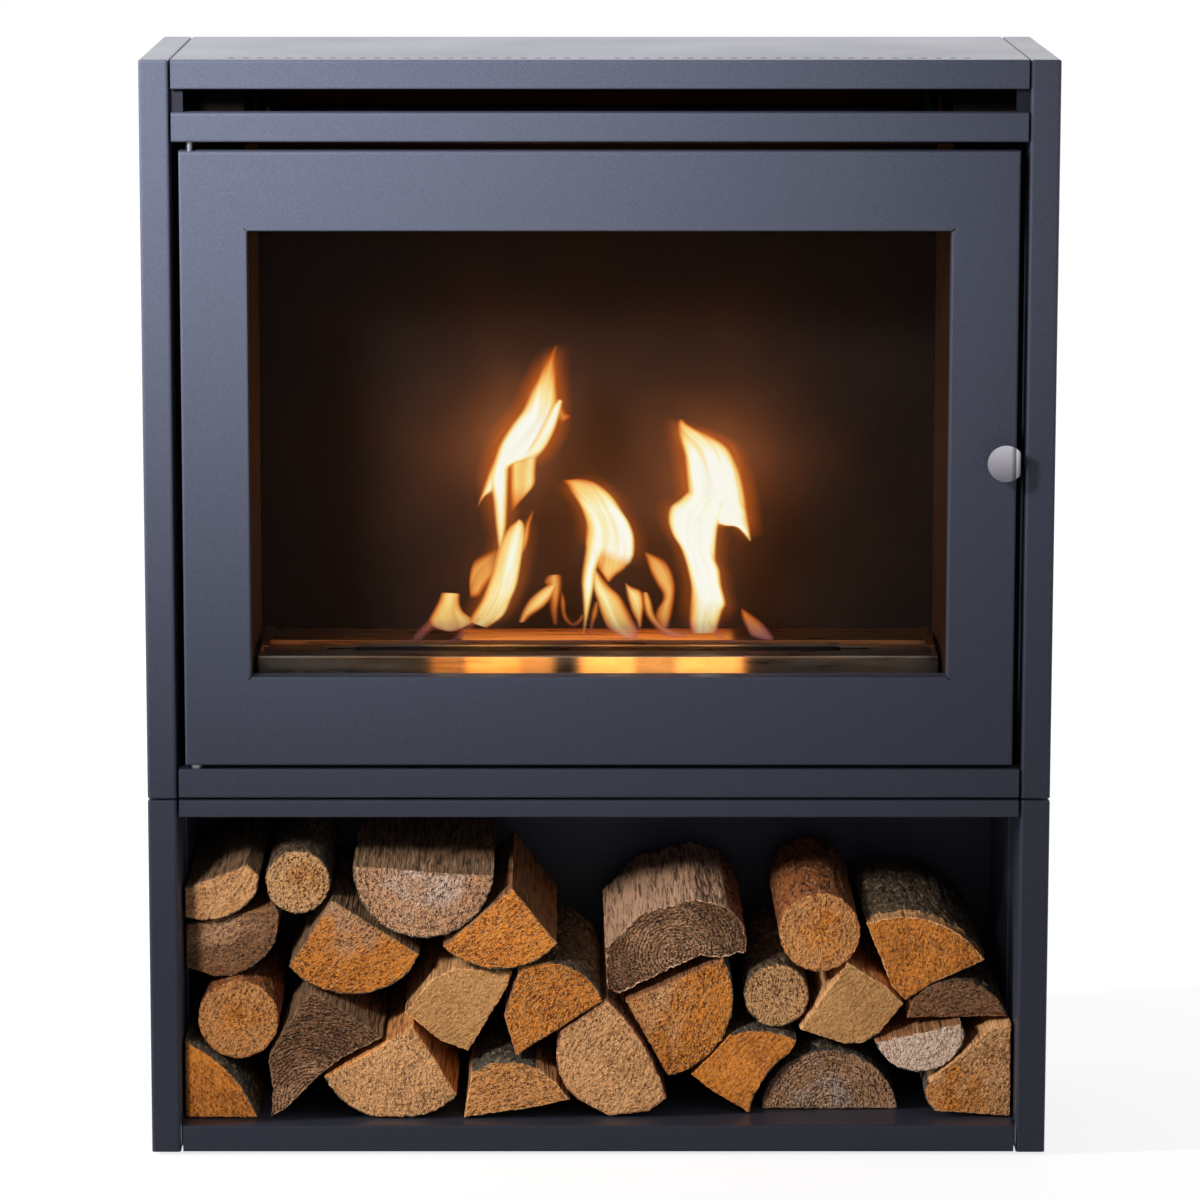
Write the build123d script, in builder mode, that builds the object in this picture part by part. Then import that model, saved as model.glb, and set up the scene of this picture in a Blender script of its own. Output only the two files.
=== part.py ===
from build123d import *
import os

# Free-standing bioethanol fireplace: a fire cabinet with a glazed door, on an open log store.
# Millimetres. +X right, +Y to the back, +Z up. The origin is the bottom centre of the overall box,
# which reaches from the handle's face at the front to the cabinet's back.

os.makedirs("parts", exist_ok=True)

# ---------------------------------------------------------------- driving dimensions
# Overall case
overall_width = 800.0
overall_height = 980.0
case_depth = 300.0
handle_reach = 24.0          # from the door's face to the front of the handle
side_thickness = 26.0

# Sheet work
sheet = 2.0                  # folded case sheet
thin_sheet = 1.5             # liners, burner and small brackets
bend = 2.5                   # outer radius of a bend
lip_bend = 1.8               # outer radius where a fascia folds into its lip
panel_corner = 3.0           # rounded upright corners of the side panels
seam = 2.0                   # shadow line between neighbouring panels
fit = 0.3                    # room where one piece drops in beside another
small_sides = 8              # small holes and shanks are drawn with this many sides
hexagon = 6
rail_return = 20.0           # how far a rail's returns reach back
flange = 15.0                # common width of a folded flange

# Heights in the lower cabinet
foot_height = 3.0
base_floor_height = 24.0
store_height = 282.5
base_top_height = 15.5

# Heights in the fire cabinet
lower_rail_height = 26.0
door_gap_below = 3.5
door_gap_above = 8.0
upper_rail_height = 25.5
air_slot_height = 20.5
top_height = 25.5

# Side panels: folded lips round the open inner face
front_lip = 115.0
rear_lip = 22.0
top_lip = 100.0
bottom_lip = 40.0
liner_start = 103.0          # where the log store's side liners begin, behind the front

# Door
door_gap_side = 8.0
door_thickness = 20.0
frame_side = 59.0            # window to door edge
frame_top = 69.5
frame_bottom = 79.5
window_return = 18.0         # the window's folded edge, from the door's face
relief_length = 7.0
relief_width = 1.2
glass_thickness = 4.0
glass_overlap = 12.0
gasket_thickness = 2.0

# Glass clips
clip_width = 20.0
clip_foot = 18.0
clip_tab = 8.0
clip_edge_gap = 1.5          # between a clip and the glass's edge
clip_screw_radius = 2.0
clip_head_radius = 3.5
clip_head_height = 2.4
clip_share = 0.3             # clips sit this share of the window from its middle

# Hinge
hinge_inset = 9.0            # axis from the door's hinge edge
hinge_depth = 10.0           # axis behind the door's face
pin_radius = 3.0
pin_clearance = 0.05
pin_head_radius = 6.0
pin_head_height = 3.0
bush_radius = 5.0
bush_shoulder = 7.0
bush_length = 16.0
bracket_width = 24.0
bracket_depth = 15.0
bracket_thickness = 4.0

# Handle
handle_radius = 16.0
handle_thickness = 2.5
handle_flat = 13.0           # from the disc's centre to its straight edge
handle_lip = 7.0             # how far the straight edge curls back
handle_inset = 11.5          # disc centre from the door's edge
handle_height = 630.0        # above the ground
stem_radius = 6.0
handle_screw_radius = 2.5
handle_screw_length = 10.0
handle_head_radius = 4.5
handle_head_height = 3.0
screw_clearance = 0.1

# Magnetic catch
catch_gap = 0.3
catch_width = 18.0
catch_height = 46.0
catch_inset = 24.0           # catch edge from the door's edge
magnet_margin = 4.0
magnet_depth = 8.0
strike_width = 42.0

# Firebox
firebox_side_gap = 64.0      # from the cabinet's inner side to the firebox's inner side
firebox_start = 46.0         # front edge of its walls, behind the front
firebox_depth = 180.0
firebox_floor_drop = 20.0    # its floor, below the window
firebox_roof_gap = 5.5       # its roof, below the upper rail
firebox_top_gap = 4.5        # its walls' top, below the cabinet's top
firebox_foot_gap = 1.5       # its front flanges' foot, above the door's lower edge
roof_vent = 56.0             # gap left behind the roof for the hot air
roof_front_flange = 18.0
gusset_inset = 20.0          # gussets from the firebox walls
gusset_nose = 24.0
shield_start = 92.0
shield_rise = 19.0           # from the roof's underside to the shield's
shield_end_gap = 6.0
shield_lip_width = 520.0
shield_lip_height = 9.0
shield_lip_corner = 8.0
angle_leg = 35.0
angle_depth = 25.0
wall_screw_radius = 2.0
wall_screw_head = 4.0
wall_screw_head_height = 2.4
wall_screw_length = 8.0
wall_screw_inset = 27.0      # from the side panel's inner face
jamb_depth = 8.0
jamb_face = 12.0
jamb_leg = 30.0

# Burner
burner_side_gap = 4.0
burner_start = 95.0
burner_depth = 120.0
burner_height = 22.0
slot_start = 22.0            # flame slot behind the burner's front
slot_depth = 30.0
slot_end_gap = 86.0          # from the slot's end to the burner's end
slot_step_length = 27.0
slot_step_depth = 16.0
tank_end_gap = 46.0          # from the tank's end to the burner's end
tank_start = 12.0            # tank behind the burner's front
tank_depth = 50.0
tank_below_floor = 42.0
tank_rim = 8.0
tank_clearance = 1.0
fibre_height = 32.0
shutter_depth = 60.0
shutter_height = 4.0
shutter_travel = 34.0
guide_width = 7.0
guide_wall = 2.4

# Feet and joints between the cabinets
foot_radius = 11.0
foot_stem_radius = 4.0
foot_stem_length = 10.0
foot_inset = 30.0
bolt_inset_x = 60.0
bolt_inset_y = 60.0
bolt_radius = 4.0
bolt_head_radius = 7.5
bolt_head_height = 5.0
nut_height = 6.5
spacer_radius = 10.0

# Vent holes in the top
vent_radius = 2.25
vent_pitch = 12.7
vent_count = 25
vent_group_gap = 31.0        # between the two groups' nearest holes
vent_start = 22.0            # behind the front

# Firewood
log_back_gap = 6.0
log_gap = 0.3                # left between a log and what it rests on
log_step = 2.0               # a log drawn too low is raised by this much at a time
drawn_stack_width = 748.0    # inner width of the store that the logs below are drawn for

# ---------------------------------------------------------------- places worked out from them
front = -(case_depth - handle_reach) / 2
back = front + case_depth
inner_half = overall_width / 2 - side_thickness

base_floor_top = foot_height + base_floor_height
store_top = base_floor_top + store_height
base_top = store_top + base_top_height
cabinet_bottom = base_top + seam
lower_rail_top = cabinet_bottom + lower_rail_height
door_bottom = lower_rail_top + door_gap_below
top_bottom = overall_height - top_height
upper_rail_top = top_bottom - air_slot_height
upper_rail_bottom = upper_rail_top - upper_rail_height
door_top = upper_rail_bottom - door_gap_above

door_half = inner_half - door_gap_side
window_half = door_half - frame_side
window_bottom = door_bottom + frame_bottom
window_top = door_top - frame_top
window_middle = (window_bottom + window_top) / 2
window_height = window_top - window_bottom

rail_half = inner_half - seam
tray_half = inner_half - fit
tray_end = back - 2 * sheet - fit          # trays stop in front of the back sheets
back_sheet = back - 2 * sheet              # front face of the back sheets

hinge_x = -door_half + hinge_inset
hinge_y = front + hinge_depth
handle_x = door_half - handle_inset

firebox_half_width = inner_half - firebox_side_gap
firebox_front = front + firebox_start
firebox_end = firebox_front + firebox_depth
firebox_floor_level = window_bottom - firebox_floor_drop
firebox_roof_level = upper_rail_bottom - firebox_roof_gap
firebox_top_level = top_bottom - firebox_top_gap
firebox_front_foot = door_bottom + firebox_foot_gap
shield_level = firebox_roof_level + shield_rise
liner_half = firebox_half_width - fit

burner_half_width = firebox_half_width - burner_side_gap
tank_half_width = burner_half_width - tank_end_gap
slot_half = burner_half_width - slot_end_gap
burner_front = front + burner_start
burner_bottom = firebox_floor_level
deck = burner_bottom + burner_height
slot_front = burner_front + slot_start
slot_middle = slot_front + slot_depth / 2
tank_front = burner_front + tank_start
shutter_front = slot_front + slot_depth


# ---------------------------------------------------------------- helpers
def save(part, name):
    part.label = name
    export_step(part, f"parts/{name}.step")


def block(low, high, mode=Mode.ADD):
    """A box given by its lowest and highest corners."""
    middle = [(a + b) / 2 for a, b in zip(low, high)]
    size = [b - a for a, b in zip(low, high)]
    with Locations(tuple(middle)):
        Box(*size, mode=mode)


def bar(plane, length, radius, mode, sides):
    """A bar or hole standing on a plane: round, or with a number of sides."""
    with BuildSketch(plane) as section:
        if sides:
            RegularPolygon(radius, sides)
        else:
            Circle(radius)
    extrude(section.sketch, amount=length, mode=mode)


def column(x, y, bottom, top, radius, mode=Mode.ADD, sides=0):
    """An upright bar or hole."""
    bar(Plane((x, y, bottom)), top - bottom, radius, mode, sides)


def lying(x, z, start, end, radius, mode=Mode.ADD, sides=0):
    """A bar or hole along Y."""
    plane = Plane((x, start, z), x_dir=(1, 0, 0), z_dir=(0, 1, 0))
    bar(plane, end - start, radius, mode, sides)


def side_panel(bottom, top):
    """A left side panel: a folded box of sheet, open inside behind its lips."""
    outer_face = -overall_width / 2
    with BuildPart() as panel:
        block((outer_face, front, bottom), (-inner_half, back, top))
        fillet(panel.edges().filter_by(Axis.Z).group_by(Axis.Y)[0], panel_corner)
        fillet(panel.edges().group_by(Axis.Z)[-1], bend - 0.5)
        block(
            (outer_face + sheet, front + sheet, bottom + sheet),
            (-inner_half - sheet, back - sheet, top - sheet),
            mode=Mode.SUBTRACT,
        )
        block(
            (-inner_half - side_thickness / 2, front + front_lip, bottom + bottom_lip),
            (-inner_half, back - rear_lip, top - top_lip),
            mode=Mode.SUBTRACT,
        )
    return panel.part


def tray(half, end, bottom, top, opens_up):
    """A folded tray of sheet whose fascia has a lip folded back along its open side."""
    closed, opened = (0, -1) if opens_up else (-1, 0)
    lip_bottom = top - sheet if opens_up else bottom
    with BuildPart() as body:
        block((-half, front, bottom), (half, end, top))
        fillet(body.edges().filter_by(Axis.X).group_by(Axis.Z)[closed], bend)
        offset(amount=-sheet, openings=body.faces().sort_by(Axis.Z)[opened])
        block((-half, front, lip_bottom), (half, front + rail_return, lip_bottom + sheet))
        front_edges = body.edges().filter_by(Axis.X).group_by(Axis.Y)[0]
        fillet(front_edges.sort_by(Axis.Z)[opened], lip_bend)
    return body.part


def seamed_tray(end, bottom, top, opens_up):
    """A tray as wide as the cabinet, trimmed at its front corners to leave the seams."""
    with BuildPart() as body:
        add(tray(tray_half, end, bottom, top, opens_up))
        for side in (-1, 1):
            low, high = sorted((side * rail_half, side * inner_half))
            block((low, front, bottom), (high, front + rail_return, top), mode=Mode.SUBTRACT)
            low, high = sorted((side * (tray_half - sheet), side * inner_half))
            block(
                (low, front + sheet, bottom + sheet),
                (high, front + rail_return, top - sheet),
                mode=Mode.SUBTRACT,
            )
    return body.part


def angle_profile(corner, leg_x, leg_y, thickness):
    """An L in plan: one leg along X, one along Y, both from the corner."""
    x, y = corner
    with BuildLine() as line:
        Polyline(
            (x, y),
            (x + leg_x, y),
            (x + leg_x, y + thickness),
            (x + (thickness if leg_x > 0 else -thickness), y + thickness),
            (x + (thickness if leg_x > 0 else -thickness), y + leg_y),
            (x, y + leg_y),
            close=True,
        )
    return make_face(line.edges())


# ---------------------------------------------------------------- side panels
with BuildPart() as cabinet_left_side:
    add(side_panel(cabinet_bottom, overall_height))

with BuildPart() as cabinet_right_side:
    mirror(cabinet_left_side.part, about=Plane.YZ)

with BuildPart() as base_left_side:
    add(side_panel(foot_height, base_top))
    for y in (front + foot_inset, back - foot_inset):
        column(
            -overall_width / 2 + side_thickness / 2,
            y,
            foot_height,
            foot_height + sheet,
            foot_stem_radius + screw_clearance,
            mode=Mode.SUBTRACT,
            sides=small_sides,
        )

with BuildPart() as base_right_side:
    mirror(base_left_side.part, about=Plane.YZ)

# ---------------------------------------------------------------- lower cabinet
with BuildPart() as base_floor:
    add(seamed_tray(tray_end, foot_height, base_floor_top, opens_up=False))

with BuildPart() as base_back:
    block((-tray_half, back_sheet, foot_height), (tray_half, back_sheet + sheet, base_top))

with BuildPart() as base_left_liner:
    block(
        (-inner_half, front + liner_start, base_floor_top + fit),
        (-inner_half + thin_sheet, tray_end, store_top - fit),
    )
    fillet(
        base_left_liner.edges().filter_by(Axis.Z).group_by(Axis.Y)[0].sort_by(Axis.X)[-1],
        thin_sheet / 2,
    )

with BuildPart() as base_right_liner:
    mirror(base_left_liner.part, about=Plane.YZ)

with BuildPart() as feet:
    for x in (-1, 1):
        for y in (front + foot_inset, back - foot_inset):
            foot_x = x * (overall_width - side_thickness) / 2
            stem_top = foot_height + foot_stem_length
            column(foot_x, y, 0, foot_height, foot_radius)
            column(foot_x, y, foot_height, stem_top, foot_stem_radius, sides=small_sides)

bolt_places = [
    (x, y)
    for x in (-inner_half + bolt_inset_x, inner_half - bolt_inset_x)
    for y in (front + bolt_inset_y, back - bolt_inset_y)
]

bolt_seat = cabinet_bottom + sheet
nut_seat = base_top - sheet
nut_bottom = nut_seat - nut_height


def bolt_holes(bottom, top):
    for x, y in bolt_places:
        column(
            x,
            y,
            bottom,
            top,
            bolt_radius + screw_clearance,
            mode=Mode.SUBTRACT,
            sides=small_sides,
        )


with BuildPart() as joining_bolts:
    for x, y in bolt_places:
        column(x, y, nut_bottom - sheet, bolt_seat, bolt_radius, sides=small_sides)
        column(x, y, bolt_seat, bolt_seat + bolt_head_height, bolt_head_radius, sides=hexagon)

with BuildPart() as joining_nuts:
    for x, y in bolt_places:
        column(x, y, nut_bottom, nut_seat, bolt_head_radius, sides=hexagon)
    bolt_holes(nut_bottom, nut_seat)

with BuildPart() as joining_spacers:
    for x, y in bolt_places:
        column(x, y, base_top, cabinet_bottom, spacer_radius, sides=small_sides)
    bolt_holes(base_top, cabinet_bottom)

with BuildPart() as base_top_panel:
    add(seamed_tray(tray_end, store_top, base_top, opens_up=False))
    bolt_holes(nut_seat, base_top)

# ---------------------------------------------------------------- fire cabinet shell
pin_hole = pin_radius + screw_clearance

with BuildPart() as cabinet_floor:
    add(seamed_tray(tray_end, cabinet_bottom, lower_rail_top, opens_up=True))
    column(hinge_x, hinge_y, lower_rail_top - sheet, lower_rail_top, pin_hole, Mode.SUBTRACT)
    bolt_holes(cabinet_bottom, bolt_seat)

with BuildPart() as upper_front_rail:
    block(
        (-rail_half, front, upper_rail_bottom),
        (rail_half, front + rail_return, upper_rail_top),
    )
    fillet(upper_front_rail.edges().filter_by(Axis.X).group_by(Axis.Y)[0], bend)
    rail_openings = upper_front_rail.faces().filter_by(Axis.X) + [
        upper_front_rail.faces().sort_by(Axis.Y)[-1]
    ]
    offset(amount=-sheet, openings=rail_openings)
    column(
        hinge_x, hinge_y, upper_rail_bottom, upper_rail_bottom + sheet, pin_hole, Mode.SUBTRACT
    )

with BuildPart() as cabinet_top:
    add(tray(rail_half, back, top_bottom, overall_height, opens_up=False))
    group_centre = (vent_group_gap + (vent_count - 1) * vent_pitch) / 2
    with BuildSketch(Plane.XY.offset(overall_height)):
        with Locations((-group_centre, front + vent_start), (group_centre, front + vent_start)):
            with GridLocations(vent_pitch, 1, vent_count, 1):
                RegularPolygon(vent_radius, small_sides)
    extrude(amount=-sheet, mode=Mode.SUBTRACT)

back_fold_bottom = lower_rail_top + fit
back_fold_top = top_bottom - fit
top_inner_half = rail_half - sheet - fit

with BuildPart() as cabinet_back:
    block(
        (-tray_half, back_sheet - flange, back_fold_bottom),
        (tray_half, back_sheet + sheet, back_fold_top),
    )
    ends = cabinet_back.faces().filter_by(Axis.Z)
    offset(amount=-sheet, openings=ends + [cabinet_back.faces().sort_by(Axis.Y)[0]])
    block(
        (-tray_half, back_sheet, cabinet_bottom),
        (tray_half, back_sheet + sheet, back_fold_bottom),
    )
    block(
        (-top_inner_half, back_sheet, back_fold_top),
        (top_inner_half, back_sheet + sheet, overall_height - bend),
    )

with BuildPart() as slot_jamb_left:
    with BuildSketch(Plane.XY.offset(upper_rail_top)):
        add(angle_profile((-inner_half, front + jamb_depth), jamb_face, jamb_leg, sheet))
    extrude(amount=air_slot_height)

with BuildPart() as slot_jamb_right:
    mirror(slot_jamb_left.part, about=Plane.YZ)

# ---------------------------------------------------------------- firebox
screw_levels = (
    firebox_front_foot + flange,
    handle_height + catch_height,
    firebox_top_level - wall_screw_head - 1,
)
screw_x = inner_half - wall_screw_inset


def wall_screw_holes(start, end):
    for level in screw_levels:
        lying(
            -screw_x,
            level,
            start,
            end,
            wall_screw_radius + screw_clearance,
            mode=Mode.SUBTRACT,
            sides=small_sides,
        )


with BuildPart() as mounting_angle_left:
    with BuildSketch(Plane.XY.offset(firebox_front_foot)):
        add(angle_profile((-inner_half, firebox_front), angle_leg, angle_depth, sheet))
    extrude(amount=firebox_top_level - firebox_front_foot)
    wall_screw_holes(firebox_front, firebox_front + sheet)

with BuildPart() as mounting_angle_right:
    mirror(mounting_angle_left.part, about=Plane.YZ)

with BuildPart() as firebox_left_wall:
    with BuildSketch(Plane.XY.offset(firebox_front_foot)) as wall_plan:
        with BuildLine():
            Polyline(
                (-tray_half, firebox_front - sheet),
                (-firebox_half_width, firebox_front - sheet),
                (-firebox_half_width, firebox_end + sheet),
                (-firebox_half_width - sheet, firebox_end + sheet),
                (-firebox_half_width - sheet, firebox_front),
                (-tray_half, firebox_front),
                close=True,
            )
        make_face()
        fillet(wall_plan.vertices().group_by(Axis.Y)[0].sort_by(Axis.X)[-1], bend)
    extrude(amount=firebox_top_level - firebox_front_foot)
    wall_screw_holes(firebox_front - sheet, firebox_front)

with BuildPart() as firebox_right_wall:
    mirror(firebox_left_wall.part, about=Plane.YZ)

with BuildPart() as firebox_back_wall:
    block(
        (-liner_half, firebox_end, firebox_front_foot),
        (liner_half, firebox_end + sheet, firebox_top_level),
    )

tank_hole = tank_half_width + tank_clearance

with BuildPart() as firebox_floor:
    block(
        (-liner_half, firebox_front, firebox_floor_level - sheet),
        (liner_half, firebox_end - fit, firebox_floor_level),
    )
    block(
        (-liner_half, firebox_front, firebox_front_foot),
        (liner_half, firebox_front + sheet, firebox_floor_level),
    )
    fillet(
        firebox_floor.edges().filter_by(Axis.X).group_by(Axis.Y)[0].sort_by(Axis.Z)[-1], bend
    )
    block(
        (-tank_hole, tank_front - tank_clearance, firebox_floor_level - sheet),
        (tank_hole, tank_front + tank_depth + tank_clearance, firebox_floor_level),
        mode=Mode.SUBTRACT,
    )

roof_top = firebox_roof_level + sheet

with BuildPart() as firebox_roof:
    block(
        (-liner_half, firebox_front, firebox_roof_level),
        (liner_half, firebox_end - roof_vent, roof_top),
    )
    block(
        (-liner_half, firebox_front, firebox_roof_level),
        (liner_half, firebox_front + sheet, roof_top + roof_front_flange),
    )
    fillet(
        firebox_roof.edges().filter_by(Axis.X).group_by(Axis.Y)[0].sort_by(Axis.Z)[0], bend
    )

gusset_x = firebox_half_width - gusset_inset

with BuildPart() as gusset_left:
    with BuildSketch(Plane.YZ.offset(-gusset_x)):
        with BuildLine():
            Polyline(
                (firebox_front + 2 * sheet, roof_top),
                (firebox_front + 2 * sheet, roof_top + gusset_nose),
                (front + shield_start, firebox_top_level),
                (firebox_end - fit, firebox_top_level),
                (firebox_end - fit, roof_top),
                close=True,
            )
        make_face()
    extrude(amount=-sheet)

with BuildPart() as gusset_right:
    mirror(gusset_left.part, about=Plane.YZ)

shield_half = gusset_x - fit

with BuildPart() as heat_shield:
    block(
        (-shield_half, front + shield_start, shield_level - flange + sheet),
        (shield_half, firebox_end - shield_end_gap, shield_level + sheet),
    )
    shield_openings = heat_shield.faces().filter_by(Axis.Y) + [
        heat_shield.faces().sort_by(Axis.Z)[0]
    ]
    offset(amount=-sheet, openings=shield_openings)
    with BuildSketch(Plane.XZ.offset(-(front + shield_start + sheet))):
        with Locations((0, shield_level)):
            lip = Rectangle(
                shield_lip_width, shield_lip_height, align=(Align.CENTER, Align.MIN)
            )
        fillet(lip.vertices().group_by(Axis.Y)[-1], shield_lip_corner)
    extrude(amount=sheet)

with BuildPart() as firebox_screws:
    for side in (-1, 1):
        for level in screw_levels:
            x = side * screw_x
            face = firebox_front - sheet
            lying(x, level, face - wall_screw_head_height, face, wall_screw_head, sides=hexagon)
            end = face + wall_screw_length
            lying(x, level, face, end, wall_screw_radius, sides=small_sides)

# ---------------------------------------------------------------- burner
with BuildPart() as burner_casing:
    block(
        (-burner_half_width, burner_front, burner_bottom),
        (burner_half_width, burner_front + burner_depth, deck),
    )
    fillet(burner_casing.edges().group_by(Axis.Z)[-1].filter_by(Axis.X), bend)
    offset(amount=-thin_sheet, openings=burner_casing.faces().sort_by(Axis.Z)[0])
    with BuildSketch(Plane.XY.offset(deck)):
        with Locations((0, slot_middle)):
            Rectangle(2 * slot_half, slot_depth)
            Rectangle(2 * (slot_half + slot_step_length), slot_step_depth)
    extrude(amount=-2 * thin_sheet, mode=Mode.SUBTRACT)

with BuildPart() as burner_tank:
    block(
        (-tank_half_width, tank_front, burner_bottom - tank_below_floor),
        (tank_half_width, tank_front + tank_depth, burner_bottom + thin_sheet),
    )
    fillet(burner_tank.edges().filter_by(Axis.Z), bend)
    offset(amount=-thin_sheet, openings=burner_tank.faces().sort_by(Axis.Z)[-1])
    with BuildSketch(Plane.XY.offset(burner_bottom)):
        with Locations((0, tank_front + tank_depth / 2)):
            Rectangle(2 * (tank_half_width + tank_rim), tank_depth + 2 * tank_rim)
            Rectangle(
                2 * (tank_half_width - thin_sheet), tank_depth - 2 * thin_sheet, mode=Mode.SUBTRACT
            )
    extrude(amount=thin_sheet)

fibre_bottom = burner_bottom - tank_below_floor + thin_sheet
fibre_half = tank_half_width - thin_sheet - fit
fibre_front = tank_front + thin_sheet + fit
fibre_end = tank_front + tank_depth - thin_sheet - fit

with BuildPart() as burner_fibre:
    block(
        (-fibre_half, fibre_front, fibre_bottom),
        (fibre_half, fibre_end, fibre_bottom + fibre_height),
    )
    chamfer(burner_fibre.edges().filter_by(Axis.Z), bend - thin_sheet)

guide_outer = burner_half_width - thin_sheet - fit
shutter_bottom = deck + fit
shutter_top = shutter_bottom + shutter_height
guide_top = shutter_top + fit + thin_sheet

with BuildPart() as shutter_guides:
    for side in (-1, 1):
        low, high = sorted((side * guide_outer, side * (guide_outer - guide_width)))
        block(
            (low, shutter_front - shutter_travel - thin_sheet, deck),
            (high, shutter_front + shutter_depth, guide_top),
        )
        low, high = sorted(
            (side * (guide_outer - guide_wall), side * (guide_outer - guide_width))
        )
        block(
            (low, shutter_front - shutter_travel - thin_sheet, deck),
            (high, shutter_front + shutter_depth, shutter_top + fit),
            mode=Mode.SUBTRACT,
        )

shutter_half = guide_outer - guide_wall - fit

with BuildPart() as burner_shutter:
    block(
        (-shutter_half, shutter_front, shutter_bottom),
        (shutter_half, shutter_front + shutter_depth, shutter_top),
    )
    offset(amount=-thin_sheet, openings=burner_shutter.faces().sort_by(Axis.Z)[0])
    outer_edges = burner_shutter.edges().group_by(Axis.Z)[-1].filter_by(Axis.X)
    fillet(outer_edges, thin_sheet / 2)

# ---------------------------------------------------------------- door
glass_front = front + window_return + gasket_thickness
glass_back = glass_front + glass_thickness
glass_half = window_half + glass_overlap
glass_half_height = window_height / 2 + glass_overlap

with BuildPart() as door_frame:
    block((-door_half, front, door_bottom), (door_half, front + door_thickness, door_top))
    fillet(door_frame.edges().group_by(Axis.Y)[0], bend)
    offset(amount=-sheet, openings=door_frame.faces().sort_by(Axis.Y)[-1])
    # The window's folded edge.
    with BuildSketch(Plane.XZ.offset(-front)):
        with Locations((0, window_middle)):
            Rectangle(2 * (window_half + sheet), window_height + 2 * sheet)
    extrude(amount=-window_return)
    with BuildSketch(Plane.XZ.offset(-front)):
        with Locations((0, window_middle)):
            Rectangle(2 * window_half, window_height)
    extrude(amount=-window_return, mode=Mode.SUBTRACT)
    window_edges = (
        door_frame.edges()
        .group_by(Axis.Y)[0]
        .filter_by(lambda e: abs(e.center().X) <= window_half + fit)
        .filter_by(lambda e: abs(e.center().Z - window_middle) <= window_height / 2 + fit)
    )
    fillet(window_edges, sheet - 0.2)
    # Slits that relieve the fold at the window's corners.
    for side in (-1, 1):
        for level, turn in ((window_bottom, side), (window_top, -side)):
            with Locations(Location((side * window_half, front, level), (0, 45 * turn, 0))):
                Box(relief_length, 2 * sheet, relief_width, mode=Mode.SUBTRACT)
    # Seats for the bushes and the handle's screw.
    for low, high in ((door_bottom, door_bottom + sheet), (door_top - sheet, door_top)):
        column(hinge_x, hinge_y, low, high, bush_radius, mode=Mode.SUBTRACT)
    lying(
        handle_x,
        handle_height,
        front,
        front + sheet,
        handle_screw_radius + screw_clearance,
        mode=Mode.SUBTRACT,
    )

with BuildPart() as glass_gasket:
    with BuildSketch(Plane.XZ.offset(-(front + window_return))):
        with Locations((0, window_middle)):
            Rectangle(2 * glass_half, 2 * glass_half_height)
            Rectangle(2 * window_half, window_height, mode=Mode.SUBTRACT)
    extrude(amount=-gasket_thickness)

with BuildPart() as door_glass:
    with BuildSketch(Plane.XZ.offset(-glass_front)):
        with Locations((0, window_middle)):
            Rectangle(2 * glass_half, 2 * glass_half_height)
    extrude(amount=-glass_thickness)

skin_back = front + sheet
tab_back = glass_back + thin_sheet

clip_back = skin_back + thin_sheet
clip_rise = clip_edge_gap + thin_sheet
clip_end = clip_edge_gap + clip_foot
clip_screw_x = (clip_rise + clip_end) / 2

# One clip, a Z in plan, drawn with the glass's edge at x = 0 and the glass towards -X.
with BuildPart(mode=Mode.PRIVATE) as clip:
    with BuildSketch(Plane.XY.offset(-clip_width / 2)):
        with BuildLine():
            Polyline(
                (clip_edge_gap, skin_back),
                (clip_end, skin_back),
                (clip_end, clip_back),
                (clip_rise, clip_back),
                (clip_rise, tab_back),
                (-clip_tab, tab_back),
                (-clip_tab, glass_back),
                (clip_edge_gap, glass_back),
                close=True,
            )
        make_face()
    extrude(amount=clip_width)
    lying(
        clip_screw_x,
        0,
        skin_back,
        clip_back,
        clip_screw_radius + screw_clearance,
        mode=Mode.SUBTRACT,
        sides=small_sides,
    )

with BuildPart(mode=Mode.PRIVATE) as clip_screw:
    lying(clip_screw_x, 0, skin_back, clip_back, clip_screw_radius, sides=small_sides)
    head_top = clip_back + clip_head_height
    lying(clip_screw_x, 0, clip_back, head_top, clip_head_radius, sides=hexagon)

clip_places = []
for side in (-1, 1):
    for share in (-clip_share, clip_share):
        clip_places.append(
            Location(
                (side * glass_half, 0, window_middle + share * window_height),
                (0, 0 if side > 0 else 180, 0),
            )
        )
        clip_places.append(
            Location(
                (share * 2 * window_half, 0, window_middle + side * glass_half_height),
                (0, -90 * side, 0),
            )
        )

with BuildPart() as glass_clips:
    for place in clip_places:
        add(clip.part.moved(place))

with BuildPart() as clip_screws:
    for place in clip_places:
        add(clip_screw.part.moved(place))

with BuildPart() as hinge_bushes:
    for neck_low, neck_high, shoulder_low, shoulder_high in (
        (door_bottom, door_bottom + sheet, door_bottom + sheet, door_bottom + bush_length),
        (door_top - sheet, door_top, door_top - bush_length, door_top - sheet),
    ):
        column(hinge_x, hinge_y, neck_low, neck_high, bush_radius)
        column(hinge_x, hinge_y, shoulder_low, shoulder_high, bush_shoulder)
        column(
            hinge_x,
            hinge_y,
            min(neck_low, shoulder_low),
            max(neck_high, shoulder_high),
            pin_radius + pin_clearance,
            mode=Mode.SUBTRACT,
        )

strike_back = front + door_thickness
strike_side = door_half - sheet
strike_front = skin_back + handle_head_height + sheet
catch_bottom = handle_height - catch_height / 2
catch_top = handle_height + catch_height / 2

with BuildPart() as strike_plate:
    block(
        (strike_side - strike_width, strike_back - sheet, catch_bottom),
        (strike_side, strike_back, catch_top),
    )
    block((strike_side - sheet, strike_front, catch_bottom), (strike_side, strike_back, catch_top))

# ---------------------------------------------------------------- handle
handle_face = front - handle_reach
disc_back = handle_face + handle_thickness

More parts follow.
